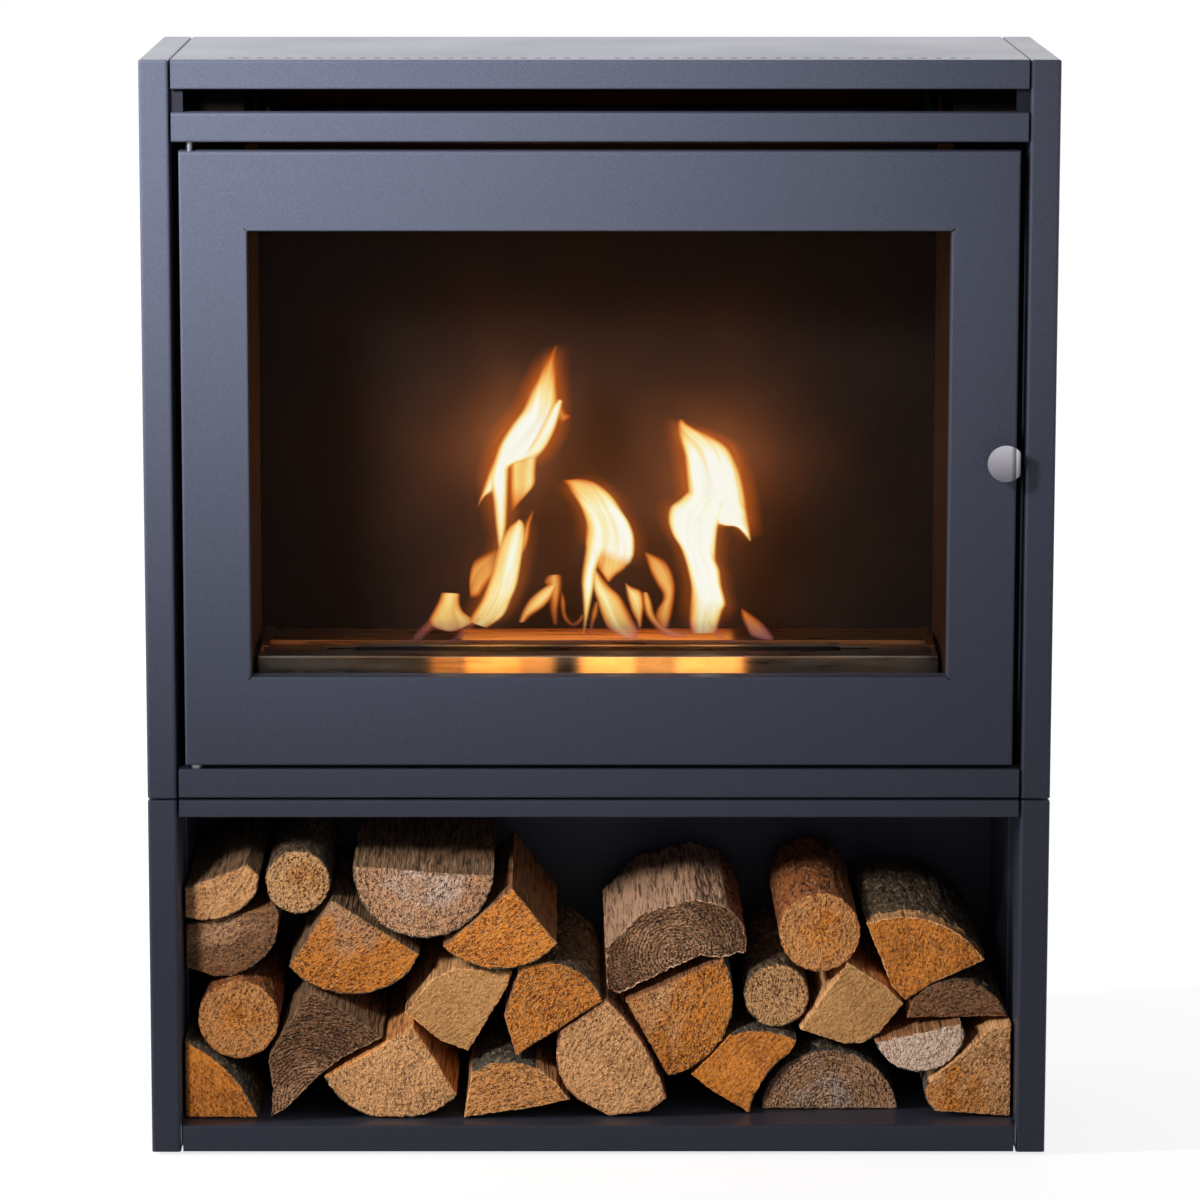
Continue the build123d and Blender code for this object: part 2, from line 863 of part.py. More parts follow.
with BuildPart() as handle_stem:
    lying(handle_x, handle_height, disc_back, front, stem_radius)
    lying(
        handle_x,
        handle_height,
        front - handle_screw_length,
        front,
        handle_screw_radius + screw_clearance,
        mode=Mode.SUBTRACT,
    )

with BuildPart() as handle_disc:
    # Plan of the disc: a plate whose straight edge curls back to the door.
    with BuildSketch(Plane.XY.offset(handle_height - handle_radius)):
        with BuildLine() as disc_plan:
            Polyline(
                (handle_x - handle_radius, handle_face),
                (handle_x + handle_flat, handle_face),
                (handle_x + handle_flat, handle_face + handle_lip),
                (handle_x + handle_flat - handle_thickness, handle_face + handle_lip),
                (handle_x + handle_flat - handle_thickness, disc_back),
                (handle_x - handle_radius, disc_back),
                close=True,
            )
        make_face()
    extrude(amount=2 * handle_radius)
    bend_edges = (
        handle_disc.edges()
        .filter_by(Axis.Z)
        .sort_by_distance((handle_x + handle_flat, handle_face, handle_height))
    )
    fillet(bend_edges[0], handle_thickness)
    with Locations(Location((handle_x, handle_face, handle_height), (-90, 0, 0))):
        Cylinder(
            handle_radius,
            handle_lip,
            align=(Align.CENTER, Align.CENTER, Align.MIN),
            mode=Mode.INTERSECT,
        )

with BuildPart() as handle_screw:
    tip = front - handle_screw_length + sheet
    head = skin_back + handle_head_height
    lying(handle_x, handle_height, tip, skin_back, handle_screw_radius, sides=small_sides)
    lying(handle_x, handle_height, skin_back, head, handle_head_radius, sides=hexagon)

# ---------------------------------------------------------------- hinge brackets and pins
def bracket(bottom):
    with BuildPart() as plate:
        with Locations((hinge_x, front + bend + bracket_depth / 2, bottom)):
            Box(
                bracket_width,
                bracket_depth,
                bracket_thickness,
                align=(Align.CENTER, Align.CENTER, Align.MIN),
            )
        column(hinge_x, hinge_y, bottom, bottom + bracket_thickness, pin_hole, Mode.SUBTRACT)
    return plate.part


lower_lip_bottom = lower_rail_top - sheet
upper_lip_top = upper_rail_bottom + sheet

with BuildPart() as lower_hinge_bracket:
    add(bracket(lower_lip_bottom - bracket_thickness))

with BuildPart() as upper_hinge_bracket:
    add(bracket(upper_lip_top))

nut_top = lower_lip_bottom - bracket_thickness

with BuildPart() as lower_hinge_pin:
    # A collar on the rail takes the door's weight.
    column(hinge_x, hinge_y, lower_rail_top, door_bottom - fit, pin_head_radius)
    column(hinge_x, hinge_y, door_bottom - fit, door_bottom + bush_length - sheet, pin_radius)
    column(hinge_x, hinge_y, nut_top - pin_head_height - sheet, lower_rail_top, pin_radius)

with BuildPart() as lower_hinge_nut:
    nut_low = nut_top - pin_head_height
    column(hinge_x, hinge_y, nut_low, nut_top, pin_head_radius, sides=hexagon)
    column(hinge_x, hinge_y, nut_low, nut_top, pin_hole, mode=Mode.SUBTRACT)

with BuildPart() as upper_hinge_pin:
    pin_seat = upper_lip_top + bracket_thickness
    column(hinge_x, hinge_y, pin_seat, pin_seat + pin_head_height, pin_head_radius)
    column(hinge_x, hinge_y, door_top - bush_length + sheet, pin_seat, pin_radius)

# ---------------------------------------------------------------- magnetic catch
catch_right = door_half - catch_inset
catch_left = catch_right - catch_width
catch_front = strike_back + catch_gap


def magnet_space(margin, mode):
    """The pocket in the housing, or the magnet in it with a little more margin."""
    block(
        (catch_left + margin, catch_front, catch_bottom + margin),
        (catch_right - margin, catch_front + magnet_depth, catch_top - margin),
        mode=mode,
    )


with BuildPart() as magnet_housing:
    block(
        (catch_left, catch_front, catch_bottom),
        (catch_right, firebox_front - sheet, catch_top),
    )
    fillet(magnet_housing.edges().filter_by(Axis.Y), thin_sheet)
    magnet_space(magnet_margin, Mode.SUBTRACT)

with BuildPart() as catch_magnet:
    magnet_space(magnet_margin + fit, Mode.ADD)

# ---------------------------------------------------------------- firewood
# Each log is (recess of its end face, outline). Outlines are seen from the front, as x from the
# store's middle and height above its floor. A pair of points is an arc through the first one.
bottom_logs = [
    (24, (-371.5, 1), (-371.5, 73), ((-331, 44), (-305, 1))),
    (24, (-166, 87), (-126, 22), ((-148, 6), (-175, 1)), (-204, 2), ((-228, 14), (-247, 39)), (-204, 63)),
    (
        26,
        (-295, 1),
        (-293, 27),
        (-297, 54),
        (-281, 84),
        (-257, 119),
        ((-222, 96), (-193, 75)),
        (-230, 56),
        (-254, 37),
        (-279, 10),
    ),
    (24, (-121, 1), (-114, 45), ((-88, 54), (-55, 48)), (-36, 33), (-25, 18), (-55, 11)),
    (28, (9, 110), ((43, 66), (62, 18)), (46, 6), (10, 1), (-20, 17), ((-37, 46), (-34, 80))),
    (40, (84, 37), (119, 75), ((148, 79), (180, 70)), (174, 57), ((153, 36), (137, 1)), (103, 21)),
    (55, (147, 1), ((207, 57), (272, 1))),
    (28, (371.5, 1), (371.5, 87), (354, 84), (297, 34), ((294, 20), (303, 6))),
]
middle_logs = [
    (42, (-361, 88), ((-324, 125), (-287, 88)), ((-324, 51), (-361, 88))),
    (38, (-175, 96), (-150, 128), (-128, 138), (-77, 134), (-80, 122), (-117, 60), (-142, 70)),
    (30, (-85, 94), (-70, 141), (-44, 145), ((-12, 133), (5, 108)), (-74, 57)),
    (38, (24, 107), (113, 146), ((121, 94), (63, 36))),
    (50, (131, 108), ((161, 138), (191, 108)), ((161, 78), (131, 108))),
    (30, (248, 71), (326, 89), (331, 78), ((290, 42), (248, 71))),
    (40, (224, 141), (260, 118), (275, 102), (254, 75), ((240, 66), (224, 64)), (181, 78)),
    (46, (278, 87), (282, 103), ((330, 123), (370, 89))),
    (55, (-371.5, 172), (-290, 190), (-287, 182), (-290, 156), ((-316, 130), (-343, 123)), (-371.5, 132)),
    (40, (-239, 200), (-160, 149), (-170, 131), ((-221, 111), (-279, 137))),
]
top_logs = [
    (44, (-371.5, 209), (-315, 231), (-304, 220), (-306, 204), ((-329, 183), (-357, 178)), (-371.5, 181)),
    (50, (-300, 213), ((-270, 243), (-240, 213)), ((-270, 183), (-300, 213))),
    (22, (-77, 223), (-36, 171), (-44, 162), ((-84, 147), (-140, 168))),
    (24, (-220, 240), (-93, 231), ((-152, 173), (-220, 240))),
    (
        40,
        (38, 184),
        (87, 199),
        (116, 190),
        ((129, 176), (134, 158)),
        (134, 148),
        (107, 142),
        (92, 145),
        (18, 109),
        (8, 114),
        (6, 152),
    ),
    (38, (162, 173), ((199, 210), (236, 173)), ((199, 136), (162, 173))),
    (45, (264, 120), (240, 180), ((297, 184), (350, 145)), (298, 121), (277, 107)),
]
all_logs = bottom_logs + middle_logs + top_logs
stack_stretch = 2 * inner_half / drawn_stack_width
log_length = tray_end - front - log_back_gap - max(recess for recess, *outline in all_logs)


def log_face(outline):
    """A log's end face, flat in the XY plane with its height along Y."""
    steps = [step if isinstance(step[0], tuple) else (step,) for step in outline]
    steps = [[(x * stack_stretch, height) for x, height in step] for step in steps]
    corners = [steps[0][0]]
    with BuildSketch() as face:
        with BuildLine():
            for step in steps[1:]:
                points = [corners[-1], *step]
                corners.append(points[-1])
                if len(points) == 3:
                    ThreePointArc(*points)
                else:
                    Line(*points)
            if corners[-1] != corners[0]:
                Line(corners[-1], corners[0])
        make_face()
    return face.sketch


def rest(face, supports):
    """The face raised clear of the supports and lowered until it all but touches one."""
    box = face.bounding_box()
    below = [
        support
        for support in supports
        if support.bounding_box().min.X < box.max.X and support.bounding_box().max.X > box.min.X
    ]

    def gap():
        return min(face.distance_to(support) for support in below)

    while gap() < log_gap:
        face = Pos(0, log_step) * face
    while gap() > 1.1 * log_gap:
        face = Pos(0, log_gap - gap()) * face
    return face


store_floor = Pos(0, -sheet) * Rectangle(overall_width, 2 * sheet)
resting = [store_floor]


def firewood_row(logs):
    """A row of separate logs, each lowered on to the ones already there."""
    with BuildPart() as row:
        for recess, *outline in logs:
            face = rest(log_face(outline), resting)
            resting.append(face)
            with BuildSketch(Plane.XZ.offset(-(front + recess))):
                add(Pos(0, base_floor_top) * face)
            extrude(amount=-log_length)
    return row.part


with BuildPart() as firewood_bottom_row:
    add(firewood_row(bottom_logs))

with BuildPart() as firewood_middle_row:
    add(firewood_row(middle_logs))

with BuildPart() as firewood_top_row:
    add(firewood_row(top_logs))

# ---------------------------------------------------------------- save
for name, builder in {
    "cabinet_left_side": cabinet_left_side,
    "cabinet_right_side": cabinet_right_side,
    "cabinet_top": cabinet_top,
    "upper_front_rail": upper_front_rail,
    "cabinet_floor": cabinet_floor,
    "cabinet_back": cabinet_back,
    "slot_jamb_left": slot_jamb_left,
    "slot_jamb_right": slot_jamb_right,
    "mounting_angle_left": mounting_angle_left,
    "mounting_angle_right": mounting_angle_right,
    "firebox_left_wall": firebox_left_wall,
    "firebox_right_wall": firebox_right_wall,
    "firebox_back_wall": firebox_back_wall,
    "firebox_floor": firebox_floor,
    "firebox_roof": firebox_roof,
    "gusset_left": gusset_left,
    "gusset_right": gusset_right,
    "heat_shield": heat_shield,
    "firebox_screws": firebox_screws,
    "burner_casing": burner_casing,
    "burner_tank": burner_tank,
    "burner_fibre": burner_fibre,
    "shutter_guides": shutter_guides,
    "burner_shutter": burner_shutter,
    "door_frame": door_frame,
    "door_glass": door_glass,
    "glass_gasket": glass_gasket,
    "glass_clips": glass_clips,
    "clip_screws": clip_screws,
    "hinge_bushes": hinge_bushes,
    "strike_plate": strike_plate,
    "handle_disc": handle_disc,
    "handle_stem": handle_stem,
    "handle_screw": handle_screw,
    "lower_hinge_bracket": lower_hinge_bracket,
    "upper_hinge_bracket": upper_hinge_bracket,
    "lower_hinge_pin": lower_hinge_pin,
    "upper_hinge_pin": upper_hinge_pin,
    "lower_hinge_nut": lower_hinge_nut,
    "magnet_housing": magnet_housing,
    "catch_magnet": catch_magnet,
    "base_left_side": base_left_side,
    "base_right_side": base_right_side,
    "base_left_liner": base_left_liner,
    "base_right_liner": base_right_liner,
    "base_top": base_top_panel,
    "base_floor": base_floor,
    "base_back": base_back,
    "feet": feet,
    "joining_bolts": joining_bolts,
    "joining_nuts": joining_nuts,
    "joining_spacers": joining_spacers,
    "firewood_bottom_row": firewood_bottom_row,
    "firewood_middle_row": firewood_middle_row,
    "firewood_top_row": firewood_top_row,
}.items():
    save(builder.part, name)
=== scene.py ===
"""Bioethanol fireplace over a log store, alight, on a pale studio floor.

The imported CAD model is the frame. Its sheet-metal pieces stay and get their finishes here.
The logs are remade with bark, torn fibres and sawn ends, and the flames are added.
Lengths are in metres unless a comment says otherwise.
"""
import math

import bmesh
import bpy
import numpy as np
from mathutils import Euler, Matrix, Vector, noise


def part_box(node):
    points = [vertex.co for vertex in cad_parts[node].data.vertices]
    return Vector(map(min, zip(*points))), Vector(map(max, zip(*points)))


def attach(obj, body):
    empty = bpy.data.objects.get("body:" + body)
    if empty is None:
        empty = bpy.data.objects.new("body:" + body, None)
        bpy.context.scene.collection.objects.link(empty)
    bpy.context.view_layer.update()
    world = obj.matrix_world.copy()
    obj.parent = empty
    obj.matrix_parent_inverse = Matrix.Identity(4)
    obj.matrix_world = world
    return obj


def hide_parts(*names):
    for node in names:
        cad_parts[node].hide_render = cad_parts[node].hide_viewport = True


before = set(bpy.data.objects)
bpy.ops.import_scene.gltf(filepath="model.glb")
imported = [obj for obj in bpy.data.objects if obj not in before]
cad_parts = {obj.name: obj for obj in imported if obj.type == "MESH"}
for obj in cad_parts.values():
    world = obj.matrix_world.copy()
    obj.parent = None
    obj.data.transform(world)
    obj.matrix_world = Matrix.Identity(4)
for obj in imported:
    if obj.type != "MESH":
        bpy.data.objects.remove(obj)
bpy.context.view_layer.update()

mm = 0.001
front_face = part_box("cabinet_left_side")[0].y
burner_low, burner_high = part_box("burner_casing")
cover_low, cover_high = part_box("burner_shutter")
tank_low, tank_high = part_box("burner_tank")
slot_centre_y = (tank_low.y + tank_high.y) / 2
glass_inner_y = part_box("door_glass")[1].y
# vent holes: from the front edge of the top, their radius, and the rim of painted shade round each
vent_start, vent_radius, vent_shade_rim = 22.0 * mm, 2.25 * mm, 1.1 * mm
# centre to centre in a group, between the two groups, and how many to a group
vent_pitch, vent_group_gap, vent_count = 12.7 * mm, 31.0 * mm, 25


# ---- camera

photo_size = 1200.0  # pixels, both ways
camera_place = Vector((-0.040, front_face - 4.5, 1.300))
camera_pitch = math.radians(9.485)  # looking down
camera_lens, camera_sensor = 155.71, 36.0  # millimetres
camera_shift = (0.0386, -0.040)  # the photograph has its uprights parallel
camera_turn = Euler((math.pi / 2 - camera_pitch, 0.0, 0.0))


def add_object(name, data):
    thing = bpy.data.objects.new(name, data)
    bpy.context.scene.collection.objects.link(thing)
    return thing


def make_camera():
    data = bpy.data.cameras.new("camera")
    data.lens, data.sensor_width = camera_lens, camera_sensor
    data.shift_x, data.shift_y = camera_shift
    data.clip_end = 50.0
    camera = add_object("camera", data)
    camera.location, camera.rotation_euler = camera_place, camera_turn
    bpy.context.scene.camera = camera


def photo_point(pixel_x, pixel_y, depth_y):
    """Where the camera sees a photograph pixel on the upright plane y = depth_y."""
    across = (pixel_x / photo_size - 0.5 + camera_shift[0]) * camera_sensor
    up = (0.5 - pixel_y / photo_size + camera_shift[1]) * camera_sensor
    ray = Vector((across, up, -camera_lens))
    ray.rotate(camera_turn)
    return camera_place + ray * ((depth_y - camera_place.y) / ray.y)


# ---- node and colour helpers

def linear(*screen):
    """A screen colour, 0 to 255, as the linear colour that shaders take, with alpha 1."""
    values = [c / 255.0 for c in screen]
    return tuple(c / 12.92 if c <= 0.04045 else ((c + 0.055) / 1.055) ** 2.4 for c in values) + (1.0,)


class Shader:
    """A material's or world's node tree, with short calls to add and join nodes."""

    def __init__(self, name, world=False):
        maker = bpy.data.worlds if world else bpy.data.materials
        self.block = maker.new(name)
        self.block.use_nodes = True
        self.tree = self.block.node_tree
        self.tree.nodes.clear()

    def add(self, kind, inputs=None, **settings):
        node = self.tree.nodes.new("ShaderNode" + kind)
        for name, value in settings.items():
            setattr(node, name, value)
        for socket, value in (inputs or {}).items():
            self.put(node.inputs[socket], value)
        return node

    def put(self, socket, value):
        """Links or sets a socket. A colour of three numbers is a screen colour."""
        if isinstance(value, bpy.types.Node):
            value = value.outputs[0]
        if isinstance(value, bpy.types.NodeSocket):
            self.tree.links.new(value, socket)
        elif socket.type == "RGBA" and len(value) == 3:
            socket.default_value = linear(*value)
        else:
            socket.default_value = value

    def math(self, operation, *values, clamp=False):
        node = self.add("Math", operation=operation, use_clamp=clamp)
        for socket, value in zip(node.inputs, values):
            self.put(socket, value)
        return node

    def plus(self, a, b, clamp=False):
        return self.math("ADD", a, b, clamp=clamp)

    def minus(self, a, b, clamp=False):
        return self.math("SUBTRACT", a, b, clamp=clamp)

    def times(self, a, b, clamp=False):
        return self.math("MULTIPLY", a, b, clamp=clamp)

    def object_coords(self, scale=(1.0, 1.0, 1.0)):
        return self.add("Mapping", {"Vector": self.add("TexCoord").outputs["Object"], "Scale": scale})

    def place_in_box(self):
        """X, Y and Z, each 0 to 1 over the piece's own box."""
        return self.add("SeparateXYZ", {0: self.add("TexCoord").outputs["Generated"]}).outputs

    def attribute(self, name, output="Fac"):
        return self.add("Attribute", attribute_name=name).outputs[output]

    def noise(self, vector, scale, detail=2.0, roughness=0.5):
        inputs = {"Vector": vector, "Scale": scale, "Detail": detail, "Roughness": roughness}
        return self.add("TexNoise", inputs).outputs["Fac"]

    def between(self, value, low, high, start=0.0, end=1.0):
        """The value moved from the range start..end to low..high, held at its ends."""
        inputs = {"Value": value, "From Min": start, "From Max": end, "To Min": low, "To Max": high}
        return self.add("MapRange", inputs)

    def vary(self, noise_value, low, high):
        """Low to high over the range where a noise mostly lies."""
        return self.between(noise_value, low, high, 0.3, 0.7)

    def mix(self, factor, low, high, blend="MIX"):
        inputs = {0: factor, 6: low, 7: high}
        return self.add("Mix", inputs, data_type="RGBA", blend_type=blend).outputs[2]

    def ramp(self, value, stops):
        """Colours by a value, through stops of place and screen colour."""
        node = self.add("ValToRGB", {"Fac": value})
        band = node.color_ramp
        for place, _ in stops[1:-1]:
            band.elements.new(place)
        for element, (place, colour) in zip(band.elements, stops):
            element.position, element.color = place, linear(*colour)
        return node.outputs["Color"]

    def bump(self, height, depth, strength=1.0, below=None):
        """A bump whose depth is in millimetres, over the bump below."""
        node = self.add("Bump", {"Height": height, "Distance": depth * mm, "Strength": strength})
        if below is not None:
            self.put(node.inputs["Normal"], below)
        return node

    def principled(self, **inputs):
        """The Principled shader as the material's surface. Input names have _ for a space."""
        self.finish(self.add("BsdfPrincipled", {name.replace("_", " "): v for name, v in inputs.items()}))
        return self.block

    def finish(self, surface):
        output = self.add("OutputWorld" if isinstance(self.block, bpy.types.World) else "OutputMaterial")
        self.put(output.inputs["Surface"], surface)


# ---- finishes of the CAD pieces

def case_paint(name="case_paint", vents=False):
    """Satin powder coat: fine orange peel, a faint fleck, and slow changes of gloss. With vents, painted
    shade in and round the vent holes.
    """
    s = Shader(name)
    coords = s.object_coords()
    peel = s.bump(s.noise(coords, 900.0), 0.06, 0.5)
    fleck = s.noise(coords, 2100.0, 1.0)
    base = s.mix(s.between(fleck, 0.0, 1.0, 0.36, 0.64), (70, 73, 86), (96, 100, 117))
    rough = s.vary(s.noise(coords, 6.0, 3.0), 0.30, 0.36)
    if vents:
        holes = vent_hole_shade(s)
        # painted shade: the vent holes and a rim round each are painted near black
        base = s.mix(holes, base, (6, 6, 8))
        rough = s.math("MAXIMUM", rough, holes)
    return s.principled(
        Base_Color=base, Roughness=rough, Specular_IOR_Level=0.12, Normal=s.bump(fleck, 0.03, 0.5, peel))


def vent_hole_shade(s):
    """1 in the two groups of vent holes and on a rim round each, where shade is painted."""
    low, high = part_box("cabinet_top")
    place = s.place_in_box()
    from_middle = s.times(s.math("ABSOLUTE", s.minus(place["X"], 0.5)), high.x - low.x)
    group_middle = vent_group_gap / 2 + vent_pitch * (vent_count - 1) / 2
    holes = s.math("DIVIDE", s.minus(from_middle, group_middle), vent_pitch)
    across = s.times(s.minus(holes, s.math("ROUND", holes)), vent_pitch)
    along = s.minus(s.times(place["Y"], high.y - low.y), vent_start)
    away = s.math("SQRT", s.plus(s.times(across, across), s.times(along, along)))
    near = s.math("LESS_THAN", away, vent_radius + vent_shade_rim)
    return s.times(near, s.math("LESS_THAN", s.math("ABSOLUTE", holes), vent_count / 2))


def firebox_paint():
    """Matt stove black, a little dusty."""
    s = Shader("firebox_paint")
    coords = s.object_coords()
    dust = s.noise(coords, 14.0, 4.0, 0.6)
    base = s.mix(s.between(dust, 0.0, 1.0, 0.35, 0.7), (20, 17, 15), (27, 22, 18))
    return s.principled(
        Base_Color=base, Roughness=s.vary(dust, 0.50, 0.64), Specular_IOR_Level=0.01,
        Normal=s.bump(s.noise(coords, 1500.0), 0.08, 0.6))


def stainless():
    """Brushed stainless steel, brushed along X."""
    s = Shader("stainless")
    lines = s.noise(s.object_coords((0.03, 1.0, 1.0)), 2600.0, 3.0, 0.6)
    broad = s.noise(s.object_coords((0.15, 1.0, 1.0)), 60.0)
    return s.principled(
        Base_Color=s.mix(lines, (158, 156, 164), (210, 208, 216)), Metallic=1.0,
        Roughness=s.plus(s.vary(lines, 0.28, 0.40), s.vary(broad, -0.03, 0.03)),
        Normal=s.bump(lines, 0.03, 0.5))


def burner_steel(name, bare, browned):
    """Stainless steel browned by the fire. It is brushed along X, which spreads highlights square to X."""
    s = Shader(name)
    lines = s.noise(s.object_coords((0.015, 1.0, 1.0)), 1700.0, 3.0, 0.6)
    streaks = s.noise(s.object_coords((0.10, 1.0, 1.0)), 150.0, 3.0, 0.6)
    tint = s.noise(s.object_coords((0.4, 1.0, 1.0)), 22.0, 3.0)
    base = s.mix(s.between(tint, 0.0, 1.0, 0.35, 0.65),
                 s.mix(lines, *bare), s.mix(s.vary(streaks, 0.0, 1.0), *browned))
    return s.principled(
        Base_Color=base, Metallic=1.0, Roughness=s.vary(streaks, 0.26, 0.34), Anisotropic=0.8,
        Tangent=s.add("Tangent", direction_type="RADIAL", axis="X"), Normal=s.bump(lines, 0.05, 0.6))


def handle_steel():
    """Blasted stainless steel with painted light: lighter towards the top, a painted shade just inside its
    lip and a painted highlight on the lip's curve.
    """
    s = Shader("handle_steel")
    place = s.place_in_box()
    blast = s.noise(s.object_coords(), 2400.0)
    # painted light: lighter towards the top
    light = s.plus(s.between(place["Z"], 0.0, 0.85), s.vary(blast, -0.2, 0.2), clamp=True)
    # painted shade just inside the lip, then a painted highlight on its curve, as a multiplier
    lip_shade_and_highlight = s.ramp(place["X"], [(0.70, (224, 224, 224)), (0.83, (120, 120, 120)),
                               (0.89, (255, 255, 255)), (0.98, (140, 140, 140))])
    base = s.mix(1.0, s.mix(light, (116, 112, 122), (222, 217, 226)), lip_shade_and_highlight, "MULTIPLY")
    return s.principled(
        Base_Color=base, Metallic=1.0, Roughness=s.vary(blast, 0.34, 0.46), Normal=s.bump(blast, 0.03, 0.5))


def zinc():
    """Zinc plate with its faint spangle."""
    s = Shader("zinc")
    coords = s.object_coords()
    spangle = s.add("TexVoronoi", {"Vector": coords, "Scale": 260.0}).outputs["Distance"]
    fine = s.noise(coords, 1800.0)
    base = s.mix(s.between(spangle, 0.0, 1.0, 0.0, 0.6), (92, 94, 99), (128, 130, 136))
    return s.principled(
        Base_Color=base, Metallic=1.0, Roughness=s.vary(fine, 0.36, 0.50), Normal=s.bump(fine, 0.02, 0.4))


def door_glass():
    """Clear pane: mostly see-through, with a light haze from use."""
    s = Shader("glass")
    haze = s.noise(s.object_coords(), 9.0, 3.0)
    return s.principled(
        Base_Color=(24, 26, 27), Roughness=s.vary(haze, 0.03, 0.07), Alpha=s.vary(haze, 0.022, 0.032))


def glass_tape():
    """Black woven glass-fibre tape."""
    s = Shader("gasket")
    weave = {
        "Vector": s.object_coords(), "Scale": 230.0, "Distortion": 0.3, "Detail": 1.0, "Detail Scale": 2.0}
    warp, weft = (s.add("TexWave", weave, bands_direction=way).outputs["Fac"] for way in "XZ")
    cloth = s.math("MAXIMUM", warp, weft)
    return s.principled(
        Base_Color=s.mix(cloth, (22, 22, 23), (58, 57, 56)), Roughness=0.85, Sheen_Weight=0.2,
        Normal=s.bump(cloth, 0.3, 0.7))


def ceramic_wool():
    s = Shader("fibre")
    fluff = s.noise(s.object_coords((1.0, 1.0, 0.4)), 420.0, 5.0, 0.7)
    base = s.mix(fluff, (196, 186, 168), (240, 236, 226))
    return s.principled(Base_Color=base, Roughness=0.95, Normal=s.bump(fluff, 1.2, 0.8))


def moulded(name, low, high, roughness, grain, gloss=0.5):
    """Moulded, sintered or matt painted black pieces: a fine grain and a slight fade."""
    s = Shader(name)
    coords = s.object_coords()
    grains = s.noise(coords, grain, 3.0)
    return s.principled(
        Base_Color=s.mix(s.between(grains, 0.0, 1.0, 0.35, 0.65), low, high),
        Roughness=s.between(s.noise(coords, 40.0), roughness, roughness + 0.12),
        Specular_IOR_Level=gloss, Normal=s.bump(grains, 0.08, 0.5))


def dress_cad_nodes():
    """Swaps the materials that the CAD pieces came with. Some pieces have a finish of their own."""
    finishes = {
        "case_paint": case_paint(),
        "firebox_paint": firebox_paint(),
        "stainless": stainless(),
        "zinc": zinc(),
        "glass": door_glass(),
        "gasket": glass_tape(),
        "fibre": ceramic_wool(),
        "magnet_plastic": moulded("magnet_plastic", (26, 26, 27), (36, 36, 37), 0.42, 900.0),
        "magnet": moulded("magnet", (38, 37, 38), (58, 56, 56), 0.50, 1600.0),
        "glide": moulded("glide", (20, 20, 21), (30, 30, 31), 0.55, 700.0),
    }
    # a darker copy of the case paint: painted shade on the pieces seen deep in the air slot
    recess_shade_paint = moulded("recess_shade_paint", (34, 36, 44), (42, 44, 53), 0.48, 1500.0, gloss=0.1)
    browned = burner_steel(
        "burner_steel", bare=((104, 96, 88), (146, 136, 126)), browned=((84, 62, 46), (140, 110, 84)))
    # for the cover both pairs are orange: heat tint with a painted reflection of the flames
    cover = burner_steel(
        "cover_steel", bare=((112, 70, 40), (160, 106, 64)), browned=((92, 48, 22), (196, 118, 58)))
    own_finishes = {
        # the top's paint has painted shade in and round its vent holes
        "cabinet_top": case_paint("top_paint", vents=True),
        **dict.fromkeys(("slot_jamb_left", "slot_jamb_right", "gusset_left", "gusset_right"), recess_shade_paint),
        "heat_shield": recess_shade_paint,
        "handle_disc": handle_steel(),
        "burner_casing": browned, "burner_tank": browned,
        "burner_shutter": cover, "shutter_guides": cover,
    }
    for name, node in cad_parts.items():
        for held in node.material_slots:
            finish = finishes.get(held.material.name, held.material)
            held.material = own_finishes.get(name, finish)


# ---- firewood

# pairs of screen colours, dark then light
orange = ((104, 48, 12), (242, 150, 60))
tan = ((104, 58, 24), (240, 164, 94))
smooth_tan = ((148, 98, 52), (218, 162, 102))
pale = ((118, 68, 34), (246, 182, 122))
speckled = ((84, 36, 12), (255, 194, 132))
weathered = ((76, 48, 32), (220, 164, 122))
silver = ((94, 74, 64), (228, 198, 180))
dark = ((40, 26, 17), (150, 100, 66))
rose = ((150, 104, 80), (255, 222, 198))
brown_split = ((68, 43, 27), (170, 114, 72))
grey_split = ((58, 42, 30), (158, 120, 88))
rosy_split = ((120, 86, 66), (226, 178, 144))
plain_bark = ((38, 34, 30), (88, 80, 70))
grey_bark = ((34, 26, 19), (112, 90, 70))
red_bark = ((56, 30, 21), (154, 98, 74))
orange_bark = ((66, 34, 18), (180, 106, 56))


class Look:
    """How one log looks."""

    def __init__(self, end, split=brown_split, bark=plain_bark, core=None,
                 grain=0.9, saw=0.0, bark_start=0.0, ridges=1.0, layers=0.0):
        self.end, self.split, self.bark = end, split, bark
        self.core = core or end  # the pair at the pith, blended outwards
        self.grain = grain  # how torn the sawn end is
        self.saw = saw  # degrees, the way the saw ran across the end
        self.bark_start = bark_start  # metres of stripped wood before the bark begins
        self.ridges = ridges  # how deep the fibres of the split faces are
        self.layers = layers  # depth of the steps between growth rings, 0 for none


